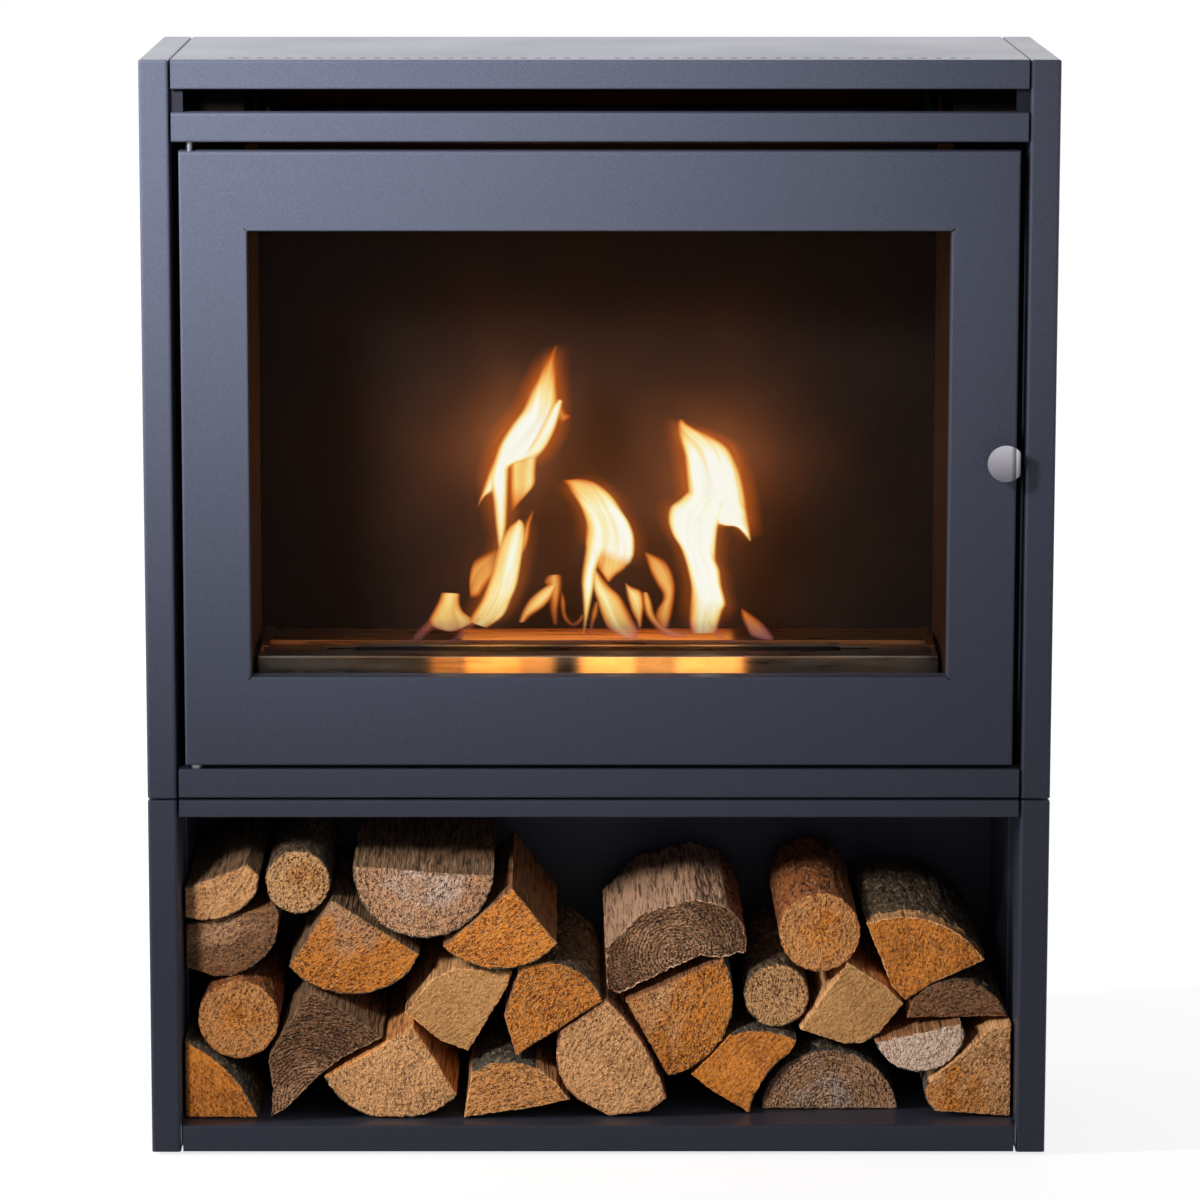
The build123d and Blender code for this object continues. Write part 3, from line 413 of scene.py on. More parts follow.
# each log's look, by the middle of its end face in millimetres, (x, z)
looks = {
    (-346, 54): Look(orange, grain=0.35),
    (-256, 92): Look(dark, grey_split, core=weathered, grain=1.3, saw=80, layers=1.6),
    (-184, 62): Look(pale, tan, saw=5),
    (-79, 54): Look(tan, pale, saw=70),
    (9, 76): Look(pale, bark=red_bark, grain=0.8, saw=30),
    (132, 73): Look(orange, orange, grain=0.3, saw=40),
    (210, 51): Look(weathered, grey_split, core=silver, grain=1.3, layers=0.8),
    (340, 63): Look(pale, pale, core=orange, saw=45),
    (-324, 114): Look(tan, bark=orange_bark, core=orange, saw=20),
    (-330, 182): Look(dark, core=weathered, grain=0.8, saw=60),
    (-222, 174): Look(orange, grey_split, core=weathered, grain=1.1, saw=55),
    (-125, 129): Look(smooth_tan, pale, red_bark, grain=0.4, saw=48),
    (-46, 133): Look(orange, bark=grey_bark, grain=1.3, saw=35),
    (80, 118): Look(orange, core=pale, grain=1.2, saw=12),
    (161, 134): Look(speckled, bark=grey_bark, grain=1.6),
    (229, 124): Look(smooth_tan, pale, grain=0.4, saw=50),
    (293, 90): Look(rose, grain=0.8),
    (322, 130): Look(dark, bark=grey_bark, saw=70),
    (-338, 229): Look(pale, grey_split, grey_bark, grain=0.6, saw=35),
    (-270, 239): Look(speckled, bark=grey_bark, core=tan, grain=1.6, saw=25),
    (-158, 229): Look(weathered, grey_split, core=silver, grain=1.1, layers=0.4, ridges=1.6),
    (-85, 195): Look(orange, saw=60, ridges=0.5),
    (61, 195): Look(dark, rosy_split, red_bark, core=weathered, grain=1.6, saw=85, ridges=3.0, layers=1.4),
    (199, 196): Look(tan, bark=orange_bark, core=orange, saw=15),
    (290, 176): Look(orange, pale, grey_bark, grain=0.6, bark_start=0.022),
}

bark_class, split_class, end_class = 0, 1, 2
outline_step = 2.4 * mm
arc_edge_limit = 14.0 * mm  # outline edges shorter than this lie on the bark's arc
least_arc = 6  # points, to find the middle of that arc
farthest_pith = 150.0 * mm  # from the middle of the end
unseen_pith = Vector((0.0, -50.0 * mm))  # from the middle of the end, for a log without bark
first_ring, ring_growth, longest_ring = 1.4 * mm, 1.10, 10.0 * mm  # along a log, from the front
bark_thickness = 2.2 * mm
least_wear = 0.05 * mm  # every side lies at least this far inside its solid
least_end_rings = 6
core_reach, core_rag = 0.62, 0.9  # a share of the log's radius, and how ragged its edge is
front_facing = -0.99  # a face whose normal has a lower y is a front end
sharp_angle = math.radians(50)
grain_middle = 0.475  # where half of a log's grain is dark


def wood_material(name, scale, stretch, rough, depth, rings=False):
    """Wood between a dark and a light colour that each log's mesh carries."""
    s = Shader(name)
    grain, fibres = s.attribute("grain"), s.attribute("fibres", "Vector")
    dark_colour, light_colour = s.attribute("dark", "Color"), s.attribute("light", "Color")
    coords = s.add("Mapping", {"Vector": fibres, "Scale": stretch})
    tufts = s.between(s.noise(coords, scale * 1.2, 1.0), 0.0, 1.0, 0.55, 0.68)
    grains = s.plus(s.times(s.noise(coords, scale), 0.55), s.times(s.noise(coords, scale * 2.2), 0.45))
    reach = s.between(grain, 0.15, 0.10, 0.3, 1.4)
    tone = s.between(grains, 0.0, 1.0, s.minus(grain_middle, reach), s.plus(grain_middle, reach))
    # a torn end is nearly black and white in its grain, and a smooth one stays near its middle: the wood's
    # own grain, with painted shade in its low places and painted light on its high ones, as the bump lowers
    # and raises them
    contrast = s.between(grain, 0.92, 1.60, 0.3, 1.2)
    shade = s.plus(s.times(s.minus(tone, 0.44), contrast), 0.50)
    shade = s.plus(shade, s.vary(s.noise(fibres, 26.0, 3.0, 0.6), -0.24, 0.24))
    if rings:
        def ring_wave(scale, distortion, detail_scale):
            inputs = {"Vector": fibres, "Scale": scale, "Distortion": distortion, "Detail": 2.0,
                      "Detail Scale": detail_scale}
            return s.add("TexWave", inputs, wave_type="RINGS", rings_direction="Y").outputs["Fac"]

        growth = ring_wave(66.0, 3.5, 1.4)
        saw_marks = s.noise(s.add("Mapping", {"Vector": fibres, "Scale": (1.0, 1.0, 0.07)}), 520.0)
        carved = s.math("POWER", s.minus(1.0, ring_wave(95.0, 7.0, 1.2)), 1.6)
        carved = s.times(carved, s.attribute("layers"))
        shade = s.plus(s.plus(shade, s.between(growth, -0.12, 0.07)), s.vary(saw_marks, -0.16, 0.16))
        # painted shade in the carved steps between the rings, which the bump also sinks
        shade = s.minus(shade, s.times(carved, 0.34))
        grains = s.minus(s.plus(grains, s.times(growth, 0.06)), s.times(carved, 0.20))
    base = s.mix(s.plus(shade, 0.0, clamp=True), dark_colour, light_colour)
    # painted highlight: the tips of the torn fibres mixed towards cream
    tuft_highlight = s.times(tufts, s.between(grain, 0.18, 0.55, 0.3, 1.2))
    base = s.mix(tuft_highlight, base, s.mix(0.50, light_colour, (255, 226, 178)))
    height = s.times(s.plus(grains, s.times(tufts, 0.20)), s.between(grain, 0.5, 1.6, 0.3, 1.6))
    return s.principled(
        Base_Color=base, Roughness=rough, Specular_IOR_Level=0.25, Normal=s.bump(height, depth))


def end_faces(node):
    """The outline of each log's front end in a row: (points (x, z) going anticlockwise, y)."""
    shape = bmesh.new()
    shape.from_mesh(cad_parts[node].data)
    faces = [face for face in shape.faces if face.normal.y < front_facing]
    rims = {}
    for face in faces:
        for loop in face.loops:
            if not any(other in faces for other in loop.edge.link_faces if other is not face):
                rims[loop.vert.index] = (loop.link_loop_next.vert.index, loop.vert.co.copy())
    outlines = []
    while rims:
        points, at = [], next(iter(rims))
        while at in rims:
            at, place = rims.pop(at)
            points.append(place)
        flat = [(p.x, p.z) for p in points]
        turn = sum(a[0] * b[1] - b[0] * a[1] for a, b in zip(flat, flat[1:] + flat[:1]))
        outlines.append((flat if turn > 0 else flat[::-1], points[0].y))
    shape.free()
    return outlines


def resampled(outline):
    """The outline in short steps, with the class, bark or split, of each step."""
    points, classes = [], []
    for a, b in zip(outline, outline[1:] + outline[:1]):
        length = math.dist(a, b)
        count = max(1, round(length / outline_step))
        kind = bark_class if length < arc_edge_limit else split_class
        for k in range(count):
            t = k / count
            points.append(Vector((a[0] + (b[0] - a[0]) * t, a[1] + (b[1] - a[1]) * t)))
            classes.append(kind)
    return points, classes


def middle_of(outline):
    """The centre of area of an outline."""
    area = across = up = 0.0
    for a, b in zip(outline, outline[1:] + outline[:1]):
        cross = a[0] * b[1] - b[0] * a[1]
        area += cross
        across += (a[0] + b[0]) * cross
        up += (a[1] + b[1]) * cross
    return Vector((across / (3 * area), up / (3 * area)))


def pith_of(points, classes, middle):
    """The centre of the growth rings: the middle of the circle that the bark's arc lies on."""
    arc = [p for p, kind in zip(points, classes) if kind == bark_class]
    if len(arc) < least_arc:
        return middle + unseen_pith
    a = np.array([(2 * p.x, 2 * p.y, 1.0) for p in arc])
    b = np.array([p.length_squared for p in arc])
    x, z, _ = np.linalg.lstsq(a, b, rcond=None)[0]
    pith = Vector((x, z))
    return pith if (pith - middle).length < farthest_pith else middle


def waves(x, y, z, size):
    return noise.noise(Vector((x / size, y / size, z / size)))


def side_depth(point, along, kind, look):
    """How far the side of a log is worn in from its outline, at a distance along the log."""
    x, z = point
    if kind == bark_class:
        plates = waves(x, along * 0.14, z, 5.5 * mm) + 0.5 * waves(x, along * 0.3, z, 2.4 * mm)
        depth = (0.9 + 1.2 * plates) * mm
        edge = look.bark_start * (1.0 + 0.35 * waves(x, 0.3, z, 12.0 * mm))
        if along < edge:
            depth = bark_thickness + (0.3 + 0.5 * waves(x, along * 0.1, z, 3.0 * mm)) * mm
        return max(least_wear, depth)
    fibres = waves(x, along * 0.05, z, 4.0 * mm) + 0.6 * waves(x, along * 0.1, z, 1.7 * mm)
    step = waves(x, along * 0.6, z, 22.0 * mm)
    return max(least_wear, (0.7 + look.ridges * (0.75 * fibres + 0.5 * step)) * mm)


def end_depth(x, z, from_pith, look):
    """How deep the sawn end is torn at a place."""
    angle = math.radians(look.saw)
    along_saw = x * math.sin(angle) + z * math.cos(angle)
    across_saw = x * math.cos(angle) - z * math.sin(angle)
    torn = waves(across_saw, 0.0, along_saw * 0.45, 2.2 * mm)
    broad = waves(x, 1.7, z, 19.0 * mm)
    steps = look.layers * abs(math.sin(from_pith / (3.2 * mm) + 2.0 * waves(x, 5.0, z, 24.0 * mm)))
    return max(0.0, 0.9 + look.grain * (0.95 * torn + 0.5 * broad) + steps) * mm


def tube_faces(rings, count):
    """The faces of a tube, ring by ring, with count corners to a ring."""
    faces = []
    for start in range(0, (rings - 1) * count, count):
        for k in range(count):
            after = (k + 1) % count
            faces.append((start + k, start + after, start + count + after, start + count + k))
    return faces


def smooth_mesh(name, verts, faces, materials):
    mesh = bpy.data.meshes.new(name)
    mesh.from_pydata(verts, [], faces)
    mesh.polygons.foreach_set("use_smooth", [True] * len(faces))
    for material in materials:
        mesh.materials.append(material)
    return mesh


def log_rings(length):
    """Distances from a log's front end, close together near it."""
    rings, step = [0.0], first_ring
    while rings[-1] + step < length:
        rings.append(rings[-1] + step)
        step = min(step * ring_growth, longest_ring)
    return rings + [length]


def log_sides(points, classes, rings, front_y, look):
    """The worn sides' vertices, ring by ring."""
    verts = []
    # inwards at each point, square to the outline
    runs = [points[(k + 1) % len(points)] - points[k - 1] for k in range(len(points))]
    inwards = [Vector((-run.y, run.x)).normalized() for run in runs]
    for along in rings:
        at_rim = along in (rings[0], rings[-1])
        for k, point in enumerate(points):
            kind = classes[k] if classes[k] == classes[k - 1] else bark_class
            depth = side_depth(point, along, kind, look)
            if at_rim:
                depth += (0.9 + 0.9 * max(-1.0, 1.6 * waves(point.x, 9.0, point.y, 4.5 * mm))) * mm
            place = point + inwards[k] * depth
            verts.append(Vector((place.x, front_y + along, place.y)))
    return verts


def saw_front_end(verts, points, radius, middle, pith, look):
    """Tears the front end's rim and adds rings that shrink to its middle. Returns their faces."""
    front_y, count = verts[0].y, len(points)
    for vert, point in zip(verts, points):
        vert.y += end_depth(vert.x, vert.z, (point - pith).length, look)
    ring_count = max(least_end_rings, round(radius / outline_step))
    faces, outer = [], 0
    for r in range(1, ring_count):
        start = len(verts)
        for rim in verts[:count]:
            place = middle + (Vector((rim.x, rim.z)) - middle) * (1.0 - r / ring_count)
            deep = end_depth(place.x, place.y, (place - pith).length, look)
            verts.append(Vector((place.x, front_y + deep, place.y)))
        for k in range(count):
            after = (k + 1) % count
            faces.append((outer + after, outer + k, start + k, start + after))
        outer = start
    tip = len(verts)
    deep = end_depth(middle.x, middle.y, (middle - pith).length, look)
    verts.append(Vector((middle.x, front_y + deep, middle.y)))
    return faces + [(outer + (k + 1) % count, outer + k, tip) for k in range(count)]


def make_log(name, outline, front_y, length, look, materials):
    points, classes = resampled(outline)
    middle = middle_of(outline)
    pith = pith_of(points, classes, middle)
    radius = max((point - middle).length for point in points)
    rings = log_rings(length)
    verts = log_sides(points, classes, rings, front_y, look)
    faces = tube_faces(len(rings), len(points))
    kinds = [split_class if along < look.bark_start else kind for along in rings[:-1] for kind in classes]
    faces += saw_front_end(verts, points, radius, middle, pith, look)
    back = (len(rings) - 1) * len(points)
    faces.append(tuple(range(back, back + len(points))))
    kinds += [end_class] * (len(faces) - len(kinds))

    origin = Vector((middle.x, front_y, middle.y))
    mesh = smooth_mesh(name, [v - origin for v in verts], faces, materials)
    mesh.polygons.foreach_set("material_index", kinds)
    # the grain's place: from the pith, with X and Z turned the way the saw ran
    unturn = Euler((0.0, math.radians(look.saw), 0.0)).to_matrix().inverted()
    fibres = [unturn @ (v - Vector((pith.x, front_y, pith.y))) for v in verts]
    mesh.attributes.new("fibres", "FLOAT_VECTOR", "POINT").data.foreach_set("vector", np.ravel(fibres))
    paint_log(mesh, kinds, look, verts, pith, radius)
    mesh.set_sharp_from_angle(angle=sharp_angle)
    log = add_object(name, mesh)
    log.location = origin
    return log


def paint_log(mesh, kinds, look, verts, pith, radius):
    """Writes each log's dark and light colours and its grain on the face corners."""
    corner_vert = np.empty(len(mesh.loops), int)
    mesh.loops.foreach_get("vertex_index", corner_vert)
    totals = np.empty(len(mesh.polygons), int)
    mesh.polygons.foreach_get("loop_total", totals)
    corner_kind = np.repeat(np.array(kinds), totals)
    at_end = corner_kind == end_class
    # the core's colour fades outwards, with a ragged edge
    core_share = np.array([
        1.15 - (Vector((v.x, v.z)) - pith).length / (core_reach * radius)
        + core_rag * waves(v.x, 3.1, v.z, 17.0 * mm) for v in verts])
    blend = (core_share.clip(0.0, 1.0)[corner_vert] * at_end)[:, None]
    for name, which in (("dark", 0), ("light", 1)):
        sides = np.array([linear(*pair[which]) for pair in (look.bark, look.split, look.end)])
        colour = sides[corner_kind] * (1.0 - blend) + np.array(linear(*look.core[which])) * blend
        layer = mesh.color_attributes.new(name, "FLOAT_COLOR", "CORNER")
        layer.data.foreach_set("color", colour.ravel())
    side_grain = np.where(corner_kind == split_class, 0.6 + 0.25 * look.ridges, 1.0)
    for name, values in (("grain", np.where(at_end, look.grain, side_grain)),
                         ("layers", np.full(len(corner_kind), look.layers))):
        mesh.attributes.new(name, "FLOAT", "CORNER").data.foreach_set("value", values)


def stack_firewood():
    logs = []
    materials = [
        wood_material("bark", 210.0, (1.0, 0.28, 1.0), rough=0.92, depth=2.8),
        wood_material("split_wood", 330.0, (1.0, 0.045, 1.0), rough=0.85, depth=2.4),
        wood_material("sawn_wood", 520.0, (1.0, 1.0, 0.62), rough=0.88, depth=4.6, rings=True),
    ]
    for row in ("firewood_bottom_row", "firewood_middle_row", "firewood_top_row"):
        faces = end_faces(row)
        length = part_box(row)[1].y - max(y for _, y in faces)
        for number, (outline, front_y) in enumerate(sorted(faces, key=lambda face: middle_of(face[0]).x)):
            middle = middle_of(outline) / mm
            nearest = min(looks, key=lambda spot: math.dist(spot, middle))
            name = row.replace("firewood", "log").replace("_row", f"_{number + 1}")
            log = make_log(name, outline, front_y, length, looks[nearest], materials)
            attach(log, "cabinet")
            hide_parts(row)
            logs.append(log)
    return logs


# ---- flames

class Tongue:
    """One tongue of flame, as a thin closed sheet.

    rows     its left and right edge in photograph pixels, (left x, left y, right x, right y), foot first
    heat     of its left and right side, where 1 is white hot and 0 dull red
    solid    how little shows through it
    depth    millimetres behind the middle of the slot
    joined   millimetres over which its foot melts into another tongue
    cool     how much heat the tip has lost
    halo     how solid the faint glow round it is, at the tongue's own outline
    """

    def __init__(self, rows, heat=(1.0, 1.0), solid=1.0, depth=0.0, joined=0.0, cool=0.0, halo=0.0):
        self.rows, self.heat, self.solid = rows, heat, solid
        self.depth, self.joined, self.cool, self.halo = depth * mm, joined * mm, cool, halo


tongues = dict(
    left_plume=Tongue([
        (498, 540, 504, 537), (495, 516, 507, 516), (493, 495, 508, 491), (490, 475, 509, 471),
        (494, 456, 512, 461), (501, 438, 536, 452), (512, 421, 549, 438), (523, 407, 557, 421),
        (531, 389, 558, 399), (538, 376, 557, 382), (544, 364, 556, 366), (550, 354, 556, 354),
        (557, 344, 557, 344)], (1, 0.9), depth=1, cool=0.8, halo=0.5),
    left_lobe=Tongue([
        (494, 452, 508, 466), (488, 468, 500, 478), (484, 480, 493, 486), (480, 491, 485, 491),
        (477, 501, 478, 501)], (0.8, 1), 0.95, 3, joined=12, cool=0.3),
    left_hook=Tongue([
        (522, 452, 536, 456), (533, 436, 548, 441), (545, 414, 556, 424), (551, 403, 561, 409),
        (558, 397, 563, 399)], (0.86, 1), 0.95, -3, joined=12),
    left_curl=Tongue([
        (556, 400, 554, 416), (562, 402, 558, 419), (565, 409, 563, 420), (571, 413, 571, 414)],
        (0.42, 0.3), 0.8, -2, joined=12),
    left_sheet=Tongue([
        (514, 441, 541, 436), (509, 454, 538, 449), (509, 471, 536, 465), (509, 483, 535, 479),
        (510, 494, 527, 489), (511, 504, 513, 504)], (0.4, 0.86), 0.92, 4, joined=6, cool=0.45),
    left_body=Tongue([
        (468, 610, 488, 617), (473, 602, 504, 605), (481, 590, 511, 590), (487, 576, 517, 576),
        (492, 561, 520, 563), (496, 545, 523, 545), (501, 531, 525, 531), (508, 521, 525, 520),
        (514, 516, 523, 515), (519, 512, 519, 512)], (0.62, 1), depth=-2, halo=0.2),
    left_spur=Tongue([
        (520, 548, 527, 541), (522, 528, 530, 528), (525, 517, 531, 518), (529, 509, 533, 511),
        (534, 503, 534, 504)], (0.62, 0.5), 0.85, 1, joined=12, cool=0.3),
    left_veil=Tongue([
        (498, 538, 498, 566), (483, 547, 489, 574), (474, 553, 483, 582), (470, 563, 479, 587),
        (469, 575, 474, 588), (470, 587, 471, 588)], (0.46, 0.34), 0.72, 5, joined=12, cool=0.2),
    left_dome=Tongue([
        (444, 620, 456, 620), (434, 617, 469, 615), (428, 611, 474, 610), (433, 601, 464, 602),
        (438, 592, 460, 594), (441, 584, 460, 585)], (0.62, 0.8), 0.95, 2),
    left_tail=Tongue([
        (433, 603, 442, 611), (427, 610, 437, 616), (418, 619, 428, 623), (409, 629, 418, 633),
        (398, 636, 406, 638)], (0.4, 0.3), 0.5, 1, joined=12),
    left_streak=Tongue([
        (487, 598, 487, 604), (474, 610, 475, 615), (459, 622, 462, 626), (443, 632, 448, 636)],
        (0.55, 0.5), 0.55, -5, joined=12),
    middle_spur=Tongue([
        (518, 612, 526, 611), (522, 601, 531, 606), (529, 590, 544, 597), (541, 580, 552, 588),
        (550, 575, 557, 578)], (0.85, 0.62), 0.9, -1),
    middle_arch=Tongue([
        (553, 614, 558, 613), (550, 601, 558, 601), (549, 590, 560, 590), (547, 579, 562, 578),
        (544, 573, 562, 568), (547, 567, 560, 566)], (0.42, 0.48), 0.62, 3),
    middle_thread=Tongue([
        (561, 583, 563, 583), (560, 593, 566, 593), (561, 601, 566, 601), (564, 610, 569, 608),
        (573, 616, 573, 612), (580, 613, 578, 609), (585, 607, 581, 604)], (0.5, 0.62), 0.65, -3),
    centre_stem=Tongue([
        (581, 627, 584, 627), (583, 613, 587, 613), (583, 599, 590, 599), (582, 584, 593, 584),
        (581, 573, 595, 574), (582, 561, 597, 561), (584, 548, 601, 550), (586, 532, 606, 538),
        (588, 522, 606, 526)], (0.85, 0.95), 0.95, 1),
    centre_sail=Tongue([
        (585, 541, 630, 558), (585, 533, 634, 548), (586, 522, 635, 539), (585, 514, 634, 527),
        (582, 505, 629, 515), (578, 497, 622, 505), (574, 491, 612, 490), (569, 484, 598, 479),
        (566, 479, 582, 474), (563, 476, 563, 475)], (0.74, 0.96), joined=9, cool=0.6, halo=0.2),
    centre_fold=Tongue([
        (586, 516, 634, 530), (586, 528, 634, 543), (592, 546, 627, 558), (597, 559, 617, 566),
        (603, 567, 612, 571), (607, 573, 610, 573)], (0.42, 0.62), 0.9, 4, joined=8),
    centre_leg=Tongue([
        (626, 629, 638, 628), (616, 624, 639, 619), (607, 617, 634, 610), (601, 604, 628, 599),
        (597, 591, 620, 586), (593, 578, 609, 576), (592, 563, 598, 562)], (0.95, 0.42), 0.88, 3),
    centre_strand=Tongue([
        (588, 626, 591, 626), (590, 613, 594, 614), (591, 603, 598, 604), (595, 592, 599, 593)],
        (0.72, 0.62), 0.75, -2),
    right_leaf=Tongue([
        (638, 618, 642, 616), (636, 611, 643, 606), (632, 603, 644, 593), (628, 591, 642, 582),
        (626, 581, 633, 578), (625, 574, 626, 574)], (0.9, 0.45), 0.85, -2),
    right_limb=Tongue([
        (687, 627, 687, 623), (670, 627, 678, 620), (661, 623, 671, 618), (652, 614, 662, 613),
        (645, 604, 655, 604), (642, 593, 652, 593), (642, 583, 648, 583)], (0.6, 0.8), 0.88, 1),
    right_curl=Tongue([
        (659, 616, 669, 616), (655, 607, 672, 605), (657, 599, 674, 594), (662, 591, 675, 585),
        (662, 584, 675, 575), (657, 576, 671, 561), (651, 565, 664, 552), (647, 554, 654, 547),
        (644, 545, 645, 544)], (0.48, 0.56), 0.78, 4),
    right_sail=Tongue([
        (750, 534, 751, 532), (736, 520, 750, 522), (720, 518, 748, 511), (690, 507, 746, 496),
        (688, 488, 743, 480), (686, 468, 738, 463), (684, 450, 728, 444), (680, 436, 709, 432),
        (677, 422, 690, 423), (680, 416, 683, 417)], (0.96, 0.88), cool=0.4, halo=0.46),
    right_trunk=Tongue([
        (691, 622, 717, 621), (689, 610, 720, 610), (690, 595, 723, 600), (691, 580, 726, 593),
        (688, 564, 722, 577), (684, 550, 720, 562), (679, 538, 716, 552), (672, 527, 716, 542),
        (668, 514, 717, 530), (670, 501, 719, 518), (679, 494, 724, 508), (688, 486, 726, 496)],
        (0.96, 0.9), depth=-2, halo=0.22),
    right_foot=Tongue([
        (690, 623, 696, 622), (689, 611, 698, 611), (690, 595, 699, 595), (691, 578, 699, 578)],
        (0.5, 0.55), 0.7, 2),
    right_thread=Tongue([
        (697, 588, 704, 586), (705, 610, 710, 608), (717, 627, 722, 624), (733, 637, 738, 634)],
        (0.5, 0.45), 0.55, -5, joined=12),
    far_right=Tongue([
        (766, 630, 775, 627), (751, 625, 768, 618), (745, 615, 760, 610), (741, 605, 750, 603),
        (741, 598, 742, 598)], (0.62, 0.4), 0.85),
    blue_line=Tongue([
        (390, 632, 390, 634), (402, 631, 402, 635), (470, 629, 470, 635), (540, 630, 540, 635),
        (600, 628, 600, 635), (668, 630, 668, 635), (730, 629, 730, 635), (786, 631, 786, 635),
        (796, 633, 796, 634)], (0, 0), 0.34, -1),
)

flame_top_pixel, flame_foot_pixel = 345.0, 625.0
flame_stretch = 11.0  # pixels that the feet come down, to stand in the slot
flame_thickness, thickest_flame = 0.35, 7.0 * mm  # half of it: a share of half the width, and the most
flame_swell = 0.9 * mm  # each side, for the soft outline outside the bright one
halo_reach, halo_behind = 16.0 * mm, 9.0 * mm
cover_gap, root_bend = 0.4 * mm, 4.0 * mm  # a flame's foot passes over the sliding cover
sway, sway_size = 2.0 * mm, 30.0 * mm  # of a sheet to and fro, and the size of those waves
least_half_width = 0.2 * mm
flame_sides = 28  # corners round a tongue, closest together at its edges
flame_steps = 6  # rings from one row to the next
streak_step = 0.37  # keeps the streaks of two tongues apart
# heights over the burner up to which a flame is wispy, is blue, and lacks its full heat
wispy_height, blue_height, hot_height = 48.0 * mm, 28.0 * mm, 54.0 * mm
foot_heat, foot_solid = 0.62, 0.20  # the shares left at the foot
cool_start = 0.55  # the share of its length from which a tongue cools


def curve_through(points, steps):
    """Points on the smooth curve through the given ones (Catmull-Rom)."""
    padded = [2 * points[0] - points[1], *points, 2 * points[-1] - points[-2]]
    made = []
    for a, b, c, d in zip(padded, padded[1:], padded[2:], padded[3:]):
        for step in range(steps):
            t = step / steps
            made.append(0.5 * (2 * b + (c - a) * t + (2 * a - 5 * b + 4 * c - d) * t * t
                               + (3 * b - a - 3 * c + d) * t ** 3))
    made.append(points[-1])
    return made


def flame_material():
    """Glows by the heat of its place, and is soft and orange towards its outline and blue at its foot."""
    s = Shader("flame")
    rim, flow = s.attribute("rim"), s.attribute("flow", "Vector")
    streaks = s.noise(s.add("Mapping", {"Vector": flow, "Scale": (1.0, 1.0, 0.10)}), 120.0)
    inside = s.between(rim, 0.0, 1.0, 0.0, 11.0 * mm)
    rim_loss = s.times(s.math("POWER", s.minus(1.0, inside), 2.4), 0.78)
    streaked = s.plus(s.attribute("warmth"), s.between(streaks, -0.13, 0.15, 0.25, 0.75))
    fire = s.ramp(s.minus(streaked, rim_loss, clamp=True), [
        (0.0, (196, 92, 26)), (0.2, (222, 124, 48)), (0.4, (243, 166, 80)), (0.6, (254, 212, 124)),
        (0.76, (255, 240, 176)), (0.90, (255, 254, 240))])
    glow = s.mix(s.times(s.attribute("blue"), 0.75), fire, (88, 80, 134))
    edge = s.add("MapRange", {"Value": rim, "From Min": 0.1 * mm, "From Max": 4.6 * mm},
                 interpolation_type="SMOOTHSTEP")
    body = s.times(s.attribute("solid"), s.between(streaks, 0.80, 1.10, 0.25, 0.75))
    return s.principled(
        Base_Color=(0, 0, 0), Roughness=1.0, Specular_IOR_Level=0.0,
        Emission_Color=glow, Emission_Strength=1.0, Alpha=s.times(body, edge, clamp=True))


def over_cover(z):
    """Bends the lowest part of a flame up, so that the sliding cover passes under it."""
    knee = cover_high.z + cover_gap + root_bend
    return z if z > knee else knee - root_bend * (1.0 - math.exp((z - knee) / root_bend))


def flame_glow(tongue, halo, across, along, wide, run, height):
    """What the shader is told of a place, from its place across and along the tongue."""
    rim = (1.0 - abs(across)) * wide
    if halo:
        fade = min(1.0, 5.0 * along, 4.0 * (1.0 - along))
        heat, solid = 0.0, halo * fade * min(1.0, rim / halo_reach) ** 2
    else:
        fade = min(1.0, run / tongue.joined) if tongue.joined else 1.0
        left_heat, right_heat = tongue.heat
        heat = left_heat + (right_heat - left_heat) * (1 + across) / 2
        heat *= foot_heat + (1.0 - foot_heat) * min(1.0, height / hot_height)
        solid = tongue.solid * fade * (foot_solid + (1.0 - foot_solid) * min(1.0, height / wispy_height))
    cooled = tongue.cool * max(0.0, along - cool_start) / (1.0 - cool_start)
    return {"warmth": heat * (1.0 - cooled), "solid": solid, "rim": rim,
            "blue": max(0.0, 1.0 - height / blue_height)}


